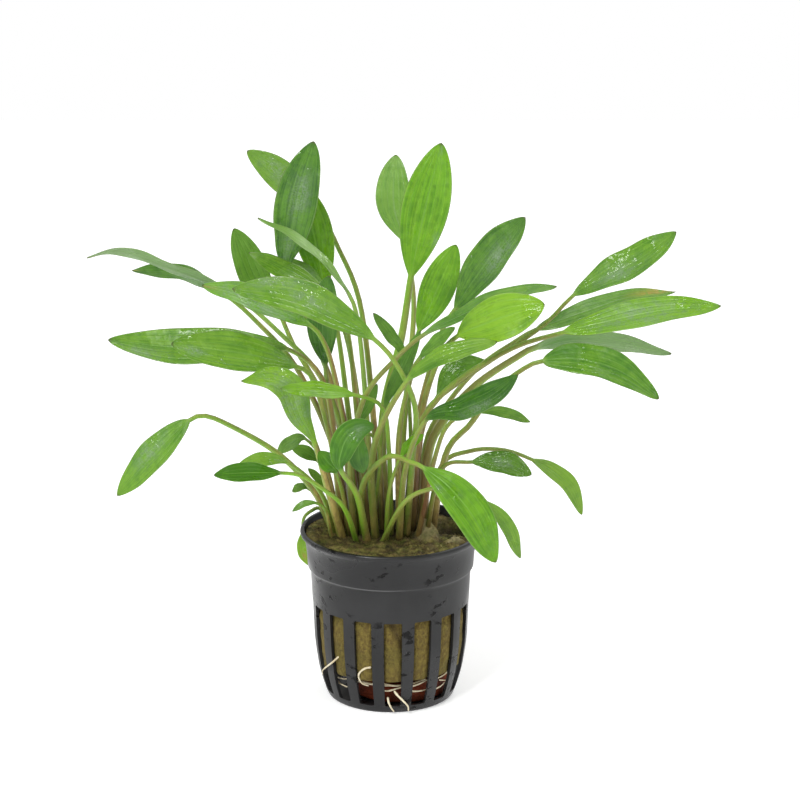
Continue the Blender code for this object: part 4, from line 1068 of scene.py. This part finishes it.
@dataclass
class Crown:
    """All the leaves, from their feet in the wool to their tips."""

    view: FrontView
    wool: RockWool
    foot_radius: float = 1.04
    neck_radius: float = 0.61
    tip_radius: float = 0.08
    depth_spread: float = 1.35
    blade_half_thickness: float = 0.17
    blade_fold: float = math.tan(math.radians(11.0))
    fold_rounding: float = 0.7
    blade_fullness: float = 0.65
    blade_lens: float = 0.6
    stalk_fade: float = 9.0
    flattening: float = 14.0
    rib_height: float = 0.34
    rib_spread: float = 0.55
    rib_groove: float = 0.35
    waves: float = 2.5
    wave_lag: float = 1.3
    patch_squeeze: float = 0.35
    foot_rest: float = 0.3
    foot_sink: float = 2.2
    shaded_rise: float = 14.0
    crowd_front: float = 7.5
    crowd_depth: float = 6.5
    crowd_least: float = 0.1
    crowd_radius: float = 16.0
    faces_around: int = 28
    stalk_rows: int = 24
    blade_rows: int = 46
    drawn_least: tuple[float, ...] = (0.0, 0.0, 0.0, 0.25, 0.0)
    drawn_span: tuple[float, ...] = (0.5, 0.6, 0.7, 0.6, 0.9)
    seed: int = 5

    def _blade_shape(self, share: float, skew: float) -> float:
        """Half-width of a blade at a share of its length, as a share of its greatest."""
        return math.sin(math.pi * share ** skew) ** self.blade_fullness if 0.0 < share < 1.0 else 0.0

    def _spine(self, leaf: Leaf) -> Spine:
        """Lay the leaf's middle line, which starts a little below the wool's skin."""
        rest = self.wool.height(*leaf.foot) + self.foot_rest + self.foot_radius * leaf.thick
        controls = [Vector((*leaf.foot, rest))]
        for across, up, back in leaf.stalk + leaf.blade:
            controls.append(self.view.seen(across, up, back * self.depth_spread))
        controls[0].z -= self.foot_sink
        return Spine(controls)

    def _stations(self, leaf: Leaf, spine: Spine) -> list[tuple[float, float, float]]:
        """List the sections of a leaf.

        Args:
            leaf: The leaf.
            spine: Its spine.

        Returns:
            Distance along the leaf, share of the blade and share of the stalk for each section.
        """
        neck = spine.length_to(1 + len(leaf.stalk))
        blade_length = spine.length() - neck
        stations = []
        for row in range(self.stalk_rows):
            share = row / self.stalk_rows
            stations.append((neck * share, 0.0, share))
        for row in range(self.blade_rows + 1):
            share = 0.5 - 0.5 * math.cos(math.pi * row / self.blade_rows)
            stations.append((neck + blade_length * share, share, 1.0))
        return stations

    def _crowding(self, foot: tuple[float, float]) -> float:
        """Share of the light that neighbours take at a stalk's foot."""
        depth = min(max((foot[1] + self.crowd_front) / self.crowd_depth, self.crowd_least), 1.0)
        return depth * math.exp(-(foot[0] / self.crowd_radius) ** 4)

    def grow(self, name: str, leaf: Leaf, care: LeafCare, phase: float, material: Material) -> None:
        """Grow one leaf.

        Args:
            name: Its name.
            leaf: Its shape.
            care: What sets its surface apart.
            phase: Where its margin's waves start, in radians.
            material: Its material.
        """
        spine = self._spine(leaf)
        stations = self._stations(leaf, spine)
        sections = [self._section(leaf, spine, *station) for station in stations]
        mesh = bmesh.new()
        even = {mark: getattr(care, mark) for mark in ("deep", "warm", "wet", "ripe", "blush")}
        marks = {mark: mesh.verts.layers.float.new(mark)
                 for mark in ("across", "along", "upper", "low", *(patch.value for patch in Patch), *even)}
        crowding = self._crowding(leaf.foot)
        floor = self.wool.height(*leaf.foot)

        def place(point: BMVert, angle: float, row: int) -> None:
            """Move one point of the leaf's skin and mark it for the finish."""
            section = sections[row]
            share, stalk_share = stations[row][1:]
            cosine, sine = math.cos(angle), math.sin(angle)
            x = section.half_width * cosine
            flat = 1.0 - section.roundness
            lens_power = self.blade_lens + (1.0 - self.blade_lens) * section.roundness
            lens = math.copysign(abs(sine) ** lens_power, sine)
            bend = math.hypot(x, self.fold_rounding) - self.fold_rounding
            rib = self.rib_height * (1.0 - share) * flat * math.exp(-(x / self.rib_spread) ** 2)
            lag = self.wave_lag if cosine > 0.0 else 0.0
            wave = math.sin(math.tau * self.waves * share + phase + lag)
            wave *= care.wave * leaf.width * flat * cosine * cosine
            y = section.half_thickness * lens + bend * section.fold + wave
            y -= rib if sine < 0.0 else self.rib_groove * rib
            point.co = (section.centre + section.across * x + section.outward * y) * MM
            rise = max(section.centre.z - floor, 0.0)
            point[marks["across"]] = cosine
            point[marks["along"]] = share if share > 0.0 else stalk_share - 1.0
            point[marks["upper"]] = lens
            # low carries the painted shade at the stalk's foot, from how crowded it is and how near the wool
            point[marks["low"]] = crowding * math.exp(-(rise / self.shaded_rise) ** 2)
            for mark, value in even.items():
                point[marks[mark]] = value
            for patch, patch_along, patch_across, spread in care.patches:
                away = math.hypot(share - patch_along, (cosine - patch_across) * self.patch_squeeze) / spread
                layer = marks[patch.value]
                point[layer] = max(point[layer], flat * math.exp(-away * away))

        rolled_sheet(mesh, self.faces_around, len(stations) - 1, place)
        piece = make_piece(name, mesh, material)

    def _section(self, leaf: Leaf, spine: Spine, distance: float, share: float,
                 stalk_share: float) -> Section:
        """Work out one section of a leaf.

        Args:
            leaf: The leaf.
            spine: Its spine.
            distance: Distance along the spine.
            share: Share of the blade, 0 to 1.
            stalk_share: Share of the stalk, 0 to 1.

        Returns:
            The section.
        """
        centre = spine.at(distance)
        ahead = spine.heading(distance)
        side = self.view.direction(centre).cross(ahead).normalized()
        face = side.cross(ahead).normalized()
        turn = math.radians(leaf.roll + leaf.twist * share ** 2)
        across = side * math.cos(turn) - face * math.sin(turn)
        outward = face * math.cos(turn) + side * math.sin(turn)
        stalk_radius = (self.foot_radius + (self.neck_radius - self.foot_radius) * stalk_share) * leaf.thick
        fade = 1.0 - share
        blade_width = 0.5 * leaf.width * self._blade_shape(share, leaf.skew)
        half_width = math.hypot(stalk_radius * fade ** 2 + self.tip_radius, blade_width)
        blade_thickness = max(self.blade_half_thickness * fade ** 0.5, self.tip_radius)
        half_thickness = max(stalk_radius * math.exp(-self.stalk_fade * share), blade_thickness)
        return Section(centre, across, outward, half_width, half_thickness,
                       fold=self.blade_fold * math.sin(math.pi * share),
                       roundness=math.exp(-self.flattening * share))

    def build(self) -> None:
        """Grow every leaf, with drawn tones where it has no care of its own."""
        chance = random.Random(self.seed)
        materials = {shade: finish.make(shade.value) for shade, finish in LEAF_FINISHES.items()}
        for place, leaves in LEAVES.items():
            for number, leaf in enumerate(leaves, start=1):
                phase = math.tau * chance.random()
                tones = [least + span * chance.random()
                         for least, span in zip(self.drawn_least, self.drawn_span)]
                self.grow(f"{place}_{number}", leaf, leaf.care or LeafCare(*tones), phase,
                          materials[leaf.shade])


@dataclass(frozen=True)
class PotFinish(Finish):
    """Dark moulded plastic, still wet in places, with a painted highlight along its step."""

    plastic: Colour = (0.013, 0.013, 0.0135)
    worn: Colour = (0.025, 0.025, 0.026)
    wet: Colour = (0.004, 0.004, 0.004)
    rubbed: Colour = (0.150, 0.150, 0.152)
    step_height: float = 41.2
    roughness: float = 0.42
    gloss: float = 0.32
    relief_depth: float = 0.00014
    drop_roughness: float = 0.25
    drop_gloss: float = 0.10
    drop_share: float = 0.7

    def shader(self, bench: Bench) -> Node:
        """Lay clouded plastic under films, runs and dabs of water, with a painted highlight along the step.

        Args:
            bench: The material's nodes.

        Returns:
            The last shader.
        """
        cloud = bench.noise(60.0, 3.0)
        film = bench.noise(38.0, 2.0).step(0.50, 0.62)
        dabs = bench.noise(340.0, 4.0, bench.stretched(0.8, 0.8, 1.4)).step(0.57, 0.64)
        dabs = dabs * bench.noise(70.0, 1.0).step(0.44, 0.54)
        runs = bench.noise(300.0, 2.0, bench.stretched(1.0, 1.0, 0.16)).step(0.60, 0.74) * film
        colour = bench.mix(cloud.step(0.35, 0.70) * 0.7, self.plastic, self.worn)
        colour = bench.mix(dabs * 0.95, colour, self.wet)
        colour = bench.mix(runs * 0.5, colour, self.wet)
        # painted highlight: a pale band along the step's edge, where the edge catches the light
        step = abs(bench.height() * (1.0 / MM) - self.step_height).step(0.34, 0.10)
        highlight_strength = bench.noise(45.0, 1.0).step(0.42, 0.62) * 0.50 + 0.08
        colour = bench.mix(step * highlight_strength, colour, self.rubbed)
        grain = bench.noise(2600.0, 2.0)
        relief = grain * 0.10 + cloud * 1.5 + dabs * 1.6 + runs * 0.6
        roughness = self.roughness - film * 0.18 - dabs * 0.20 + grain * 0.05
        skin = self.skin(bench, colour, roughness, relief)
        drop = bench.surface(Base_Color=self.wet, Roughness=self.drop_roughness,
                             Specular_IOR_Level=self.drop_gloss)
        return bench.blend(dabs * self.drop_share, skin, drop)


@dataclass
class NetPot:
    """Turned pot with a rolled lip, a step under its collar and tall slots."""

    collar: Table = (
        (26.6, 52.45, 0.35), (27.1, 52.5, 0.8), (27.42, 52.2, 1.25), (27.5, 51.8, 1.45), (27.3, 51.2, 1.45),
        (26.75, 50.7, 1.2), (26.35, 50.1, 1.0), (25.85, 48.3, 1.0), (25.6, 46.2, 1.0), (25.35, 43.0, 1.0),
        (25.25, 41.4, 1.0))
    step: Table = ((25.12, 41.1, 1.0), (24.75, 40.75, 1.0), (24.45, 40.35, 1.0))
    shoulder: Table = ((24.38, 39.8, 1.0), (24.2, 36.5, 1.0), (24.02, 32.6, 1.0), (23.9, 30.3, 1.0))
    slotted: Table = (
        (23.8, 27.8, 1.0), (23.68, 24.8, 1.0), (23.55, 21.8, 1.0), (23.4, 19.0, 1.0), (23.18, 16.6, 1.0),
        (22.88, 14.2, 1.0), (22.55, 11.9, 1.0), (22.15, 9.4, 1.0), (21.6, 7.0, 1.0), (20.95, 4.7, 1.0),
        (20.2, 2.4, 1.0))
    foot: Table = (
        (19.95, 1.6, 1.0), (19.6, 0.8, 1.0), (19.3, 0.25, 1.0), (18.9, 0.0, 1.0), (16.0, 0.0, 1.0),
        (9.0, 0.0, 1.0), (2.0, 0.0, 1.0))
    least_radius: float = 0.5
    floor: float = 1.2
    slot_count: int = 16
    slot_angle: float = math.radians(13.4)
    front_slot: float = math.radians(-88.2)
    slot_faces: int = 4
    bar_faces: int = 3
    corner_radius: float = 0.5
    edge_rounding: float = 0.16
    rounded_angle: float = math.radians(38.0)
    sharp_angle: float = math.radians(60.0)

    def inside(self, height: float) -> float:
        """Find the radius of the inner wall.

        Args:
            height: Height in millimetres.

        Returns:
            The radius in millimetres.
        """
        rows = self.collar + self.step + self.shoulder + self.slotted
        for (top_radius, top, wall), (low_radius, low, _) in zip(rows, rows[1:]):
            if low <= height <= top:
                return low_radius + (top_radius - low_radius) * (height - low) / (top - low) - wall
        return self.collar[-1][0] - self.collar[-1][2]

    def _angles(self) -> list[float]:
        """List the angles of the pot's columns, closed by the first one again."""
        pitch = math.tau / self.slot_count
        angles = []
        for slot in range(self.slot_count):
            start = self.front_slot + slot * pitch - 0.5 * self.slot_angle
            angles += [start + self.slot_angle * face / self.slot_faces for face in range(self.slot_faces)]
            bar = start + self.slot_angle
            angles += [bar + (pitch - self.slot_angle) * face / self.bar_faces
                       for face in range(self.bar_faces)]
        return angles

    def _round_corners(self, mesh: BMesh, layers: dict, rows: tuple[int, int]) -> None:
        """Round the four corners of each slot.

        Args:
            mesh: The pot's closed mesh.
            layers: Layers that number its rows and columns.
            rows: Rows of the slots' upper and lower ends.
        """
        per_slot = self.slot_faces + self.bar_faces
        corners = []
        for edge in mesh.edges:
            first, second = edge.verts
            same = all(first[layers[name]] == second[layers[name]] for name in ("row", "column"))
            at_end = first[layers["row"]] in rows
            at_side = first[layers["column"]] % per_slot in (0, self.slot_faces)
            if same and at_end and at_side:
                corners.append(edge)
        bmesh.ops.bevel(mesh, geom=corners, offset=self.corner_radius * MM, offset_type="OFFSET",
                        affect="EDGES", segments=4, profile=0.5, material=-1, clamp_overlap=True)

    def build(self) -> None:
        """Build the pot as a numbered skin, cut its slots, thicken it and round its edges."""
        mesh = bmesh.new()
        layers = {name: mesh.verts.layers.int.new(name) for name in ("row", "column")}
        above = self.collar + self.step + self.shoulder
        rows = above + self.slotted + self.foot
        slot_rows = (len(above) - 1, len(above + self.slotted) - 1)
        angles = self._angles()

        def place(point: BMVert, angle: float, row: int) -> None:
            """Move one point of the outer skin and number it."""
            column = round(angle / math.tau * len(angles)) % len(angles)
            radius, height, _ = rows[row]
            point.co = turned(radius, angles[column], height) * MM
            point[layers["row"]] = row
            point[layers["column"]] = column

        rolled_sheet(mesh, len(angles), len(rows) - 1, place, closed=False)
        self._open_slots(mesh, layers, slot_rows)
        bmesh.ops.recalc_face_normals(mesh, faces=mesh.faces)
        shell = bmesh.ops.extrude_face_region(mesh, geom=mesh.faces[:], use_keep_orig=True)["geom"]
        for point in shell:
            if isinstance(point, BMVert):
                radius, height, wall = rows[point[layers["row"]]]
                inner = max(radius - wall, self.least_radius)
                point.co = turned(inner, angles[point[layers["column"]]], max(height, self.floor)) * MM
        self._close_floor(mesh, layers["row"], len(rows) - 1)
        self._round_corners(mesh, layers, slot_rows)
        piece = make_piece("net_pot", mesh, PotFinish().make("wet_black_plastic"))
        rounding = piece.modifiers.new("rounded_edges", "BEVEL")
        rounding.width = self.edge_rounding * MM
        rounding.segments = 2
        rounding.limit_method = "ANGLE"
        rounding.angle_limit = self.rounded_angle
        piece.data.set_sharp_from_angle(angle=self.sharp_angle)

    def _open_slots(self, mesh: BMesh, layers: dict, rows: tuple[int, int]) -> None:
        """Take out the faces of the slots.

        Args:
            mesh: The pot's outer skin.
            layers: Layers that number its rows and columns.
            rows: Rows of the slots' upper and lower ends.
        """
        per_slot = self.slot_faces + self.bar_faces
        openings = []
        for face in mesh.faces:
            face_rows = [point[layers["row"]] for point in face.verts]
            columns = [point[layers["column"]] % per_slot for point in face.verts]
            in_slot = max(columns) <= self.slot_faces and max(columns) - min(columns) == 1
            if in_slot and rows[0] <= min(face_rows) and max(face_rows) <= rows[1]:
                openings.append(face)
        bmesh.ops.delete(mesh, geom=openings, context="FACES")

    def _close_floor(self, mesh: BMesh, row_layer: BMLayerItem, last: int) -> None:
        """Fill the middle of the pot's floor, above and below.

        Args:
            mesh: The pot's mesh.
            row_layer: Layer that numbers its rows.
            last: Number of the row nearest to the axis.
        """
        tunnel = [face for face in mesh.faces if all(point[row_layer] == last for point in face.verts)]
        bmesh.ops.delete(mesh, geom=tunnel, context="FACES")
        rim = [edge for edge in mesh.edges
               if edge.is_boundary and all(point[row_layer] == last for point in edge.verts)]
        bmesh.ops.holes_fill(mesh, edges=rim, sides=0)


@dataclass(frozen=True)
class ClayFinish(Finish):
    """Fired clay, darker where it is wet."""

    clay: Colour = (0.180, 0.030, 0.008)
    deep: Colour = (0.090, 0.017, 0.006)
    dust: Colour = (0.230, 0.070, 0.026)
    roughness: float = 0.55
    gloss: float = 0.2
    relief_depth: float = 0.0003

    def shader(self, bench: Bench) -> Node:
        """Lay clouded clay with its dust and its pores.

        Args:
            bench: The material's nodes.

        Returns:
            The last shader.
        """
        cloud = bench.noise(180.0, 3.0)
        pores = bench.cells(1300.0).step(0.30, 0.05)
        grain = bench.noise(1800.0, 2.0)
        colour = bench.mix(cloud.step(0.35, 0.65), self.clay, self.deep)
        colour = bench.mix(grain.step(0.55, 0.75) * 0.5, colour, self.dust)
        # the pores are dented and also darkened: painted shade in the pits
        colour = bench.mix(pores * 0.5, colour, self.deep)
        relief = cloud * 0.6 + grain * 0.5 - pores * 0.8
        return self.skin(bench, colour, self.roughness + grain * 0.25, relief)


@dataclass
class ClayRing:
    """Clay ring that weighs the pot down."""

    centre: tuple[float, float] = (2.6, 0.0)
    outer: float = 15.6
    inner: float = 8.5
    foot: float = 1.6
    top: float = 7.8
    edge: float = 0.8
    steps: int = 96

    def build(self) -> None:
        """Turn the ring from its section."""
        mesh = bmesh.new()
        corners = ((self.inner, self.foot), (self.outer, self.foot), (self.outer, self.top),
                   (self.inner, self.top))
        points = [mesh.verts.new((radius * MM, 0.0, height * MM)) for radius, height in corners]
        mesh.faces.new(points)
        bmesh.ops.bevel(mesh, geom=points, offset=self.edge * MM, offset_type="OFFSET", affect="VERTICES",
                        segments=3, profile=0.5, material=-1)
        bmesh.ops.delete(mesh, geom=mesh.faces[:], context="FACES_ONLY")
        bmesh.ops.spin(mesh, geom=mesh.edges[:], axis=(0.0, 0.0, 1.0), cent=(0.0, 0.0, 0.0),
                       angle=math.tau, steps=self.steps, use_merge=True)
        bmesh.ops.translate(mesh, vec=Vector((*self.centre, 0.0)) * MM, verts=mesh.verts)
        piece = make_piece("clay_ring", mesh, ClayFinish().make("fired_clay_wet"))


@dataclass(frozen=True)
class RootFinish(Finish):
    """Cream roots, browner in patches."""

    cream: Colour = (0.780, 0.700, 0.500)
    brown: Colour = (0.430, 0.320, 0.160)
    roughness: float = 0.38
    relief_depth: float = 0.0001

    def shader(self, bench: Bench) -> Node:
        """Lay cream with brown patches.

        Args:
            bench: The material's nodes.

        Returns:
            The last shader.
        """
        patches = bench.noise(420.0, 2.0)
        grain = bench.noise(2600.0, 2.0)
        colour = bench.mix(patches.step(0.45, 0.72) * 0.6, self.cream, self.brown)
        return self.skin(bench, colour, self.roughness + grain * 0.2, grain)


@dataclass
class Roots:
    """Loose roots in the slots: thick ones from the frame, each with finer strands beside it.

    A strand is a radius and points as degrees to the right of the front, reach
    from the pot's axis and height.
    """

    strands: dict[str, list[Strand]] = field(default_factory=lambda: {
        "root_band": [
            (0.45, [(-48, 17.6, 8.8), (-30, 18.0, 8.6), (-8, 18.2, 8.4), (15, 18.2, 8.4),
                    (38, 17.6, 8.8)]),
            (0.30, [(-59, 18.9, 6.5), (-52, 19.2, 6.3), (-44, 18.8, 6.0)]),
            (0.26, [(-58, 18.9, 7.8), (-50, 19.2, 8.3), (-42, 18.6, 8.8)]),
            (0.34, [(-14, 18.9, 7.6), (-4, 19.1, 7.0), (5, 19.0, 7.6), (13, 18.8, 8.2)]),
            (0.30, [(-9, 19.2, 9.6), (-2, 19.5, 9.2), (6, 19.4, 8.7), (12, 19.0, 8.9)]),
            (0.30, [(19, 18.8, 6.4), (27, 19.0, 6.1), (36, 18.7, 5.9)]),
            (0.34, [(20, 19.1, 8.1), (28, 19.3, 8.7), (36, 19.0, 9.2)]),
            (0.22, [(44, 19.6, 5.6), (50, 20.0, 6.2), (56, 20.1, 6.9)]),
            (0.26, [(58, 21.4, 11.2), (52, 20.8, 9.9), (45, 20.1, 9.2), (38, 19.4, 8.9)]),
            (0.22, [(47, 20.1, 8.4), (53, 20.5, 7.8), (60, 20.8, 7.2)]),
        ],
        "root_hanging_right": [
            (0.40, [(3, 19.4, 7.2), (6, 21.0, 6.2), (10, 22.0, 4.8), (14, 21.6, 2.8), (15, 20.9, 0.9)]),
        ],
        "root_hanging_left": [
            (0.35, [(-2.5, 20.0, 5.4), (-1.5, 21.5, 4.2), (0.5, 21.5, 2.5), (3, 20.9, 0.9)]),
        ],
        "root_loop": [
            (0.35, [(-15, 22.1, 15.6), (-21, 22.2, 14.8), (-26, 22.0, 12.4), (-24.5, 21.0, 9.6),
                    (-19, 20.0, 8.5)]),
        ],
        "root_left": [
            (0.35, [(-44, 22.4, 17.0), (-49, 23.3, 14.8), (-58, 23.5, 11.8), (-65, 23.1, 9.6)]),
            (0.20, [(-56, 23.4, 12.6), (-60, 23.9, 10.8), (-61, 23.6, 9.2)]),
        ],
    })
    faces_around: int = 10
    rows: int = 40
    end_rows: float = 1.5
    least_end: float = 0.04
    thinning: float = 0.5
    unevenness: float = 0.16
    knot_pitch: float = 0.9

    def _strand(self, mesh: BMesh, radius: float, route: Route) -> None:
        """Add one strand.

        Args:
            mesh: The mesh that it is added to.
            radius: Radius at its start in millimetres.
            route: Its points as turn, reach and height.
        """
        points = []
        for turn, reach, height in route:
            angle = math.radians(turn)
            points.append(Vector((reach * math.sin(angle), -reach * math.cos(angle), height)))
        spine = Spine(points)
        rounded = self.end_rows / self.rows

        def place(point: BMVert, angle: float, row: int) -> None:
            """Move one point of the strand's skin."""
            share = row / self.rows
            centre = spine.at(spine.length() * share)
            ahead = spine.heading(spine.length() * share)
            side = ahead.cross(Vector((0.0, 0.0, 1.0))).normalized()
            above = side.cross(ahead).normalized()
            ends = min(share / rounded, (1.0 - share) / rounded, 1.0)
            taper = radius * (1.0 - self.thinning * share) * math.sqrt(max(ends, self.least_end))
            taper *= 1.0 + self.unevenness * noise.noise(centre * self.knot_pitch)
            point.co = (centre + side * taper * math.cos(angle) + above * taper * math.sin(angle)) * MM

        rolled_sheet(mesh, self.faces_around, self.rows, place)

    def build(self) -> None:
        """Build every root."""
        material = RootFinish().make("cream_root")
        for name, strands in self.strands.items():
            mesh = bmesh.new()
            for radius, route in strands:
                self._strand(mesh, radius, route)
            make_piece(name, mesh, material)


@dataclass
class Studio:
    """White table in a white room with a darker ceiling, soft lights and the camera."""

    view: FrontView
    table_half: float = 0.9
    table_colour: Colour = (0.88, 0.88, 0.88)
    table_glow: float = 0.30
    table_roughness: float = 0.9
    table_gloss: float = 0.1
    wall: float = 1.0
    ceiling: float = 0.45
    ceiling_start: float = 0.80
    sensor: float = 36.0
    clip: tuple[float, float] = (0.01, 20.0)
    lights: tuple[tuple[str, tuple[float, float, float], float, float], ...] = (
        ("key_light", (-0.55, -0.75, 1.25), 0.50, 12.0), ("back_light", (0.6, 0.9, 1.1), 0.70, 9.0),
        ("left_spark", (-0.40, -0.90, 0.80), 0.10, 1.5), ("right_spark", (0.65, -0.70, 0.90), 0.10, 1.5))

    def _table(self) -> None:
        """Lay the table, which glows a little to stay white."""
        mesh = bmesh.new()
        bmesh.ops.create_grid(mesh, x_segments=2, y_segments=2, size=self.table_half)
        data = bpy.data.meshes.new("studio_table")
        mesh.to_mesh(data)
        mesh.free()
        bench = Bench(bpy.data.materials.new("studio_table"))
        white = bench.surface(Base_Color=self.table_colour, Roughness=self.table_roughness,
                              Specular_IOR_Level=self.table_gloss, Emission_Color=(1.0, 1.0, 1.0),
                              Emission_Strength=self.table_glow)
        data.materials.append(bench.finish(white))
        table = bpy.data.objects.new("studio_table", data)
        bpy.context.scene.collection.objects.link(table)

    def _room(self) -> None:
        """Shade the room from its walls to its ceiling."""
        bench = Bench(bpy.data.worlds.new("studio_room"))
        light = bench.height().step(self.ceiling_start, 0.0) * (self.wall - self.ceiling) + self.ceiling
        background = bench.add("ShaderNodeBackground", None, {"Color": (1.0, 1.0, 1.0), "Strength": light})
        bpy.context.scene.world = bench.finish(background)

    def _softbox(self, name: str, place: tuple[float, float, float], size: float, power: float) -> None:
        """Hang one soft light that faces the plant.

        Args:
            name: The light's name.
            place: Its place in metres.
            size: Side of its square in metres.
            power: Its power in watts.
        """
        lamp = bpy.data.lights.new(name, "AREA")
        lamp.energy = power
        lamp.size = size
        light = bpy.data.objects.new(name, lamp)
        light.location = place
        aim = self.view.aim * MM - Vector(place)
        light.rotation_euler = aim.to_track_quat("-Z", "Y").to_euler()
        bpy.context.scene.collection.objects.link(light)

    def _camera(self) -> None:
        """Set the camera where the photograph was taken from."""
        data = bpy.data.cameras.new("studio_camera")
        data.lens = self.view.lens
        data.sensor_width = self.sensor
        data.clip_start, data.clip_end = self.clip
        camera = bpy.data.objects.new("studio_camera", data)
        camera.location = self.view.viewer() * MM
        aim = (self.view.aim - self.view.viewer()).normalized()
        camera.rotation_euler = aim.to_track_quat("-Z", "Y").to_euler()
        bpy.context.scene.collection.objects.link(camera)
        bpy.context.scene.camera = camera

    def build(self) -> None:
        """Build the studio."""
        bpy.context.scene.view_settings.view_transform = "Standard"
        self._room()
        self._table()
        for light in self.lights:
            self._softbox(*light)
        self._camera()


def main() -> None:
    """Build every piece round the frame, and the studio with its lights and camera."""
    logging.basicConfig(level=logging.INFO, format="%(message)s")
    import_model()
    view = FrontView()
    pot = NetPot()
    wool = RockWool()
    pot.build()
    wool.build(pot)
    ClayRing().build()
    Roots().build()
    Crown(view, wool).build()
    Studio(view).build()


if __name__ == "__main__":
    main()
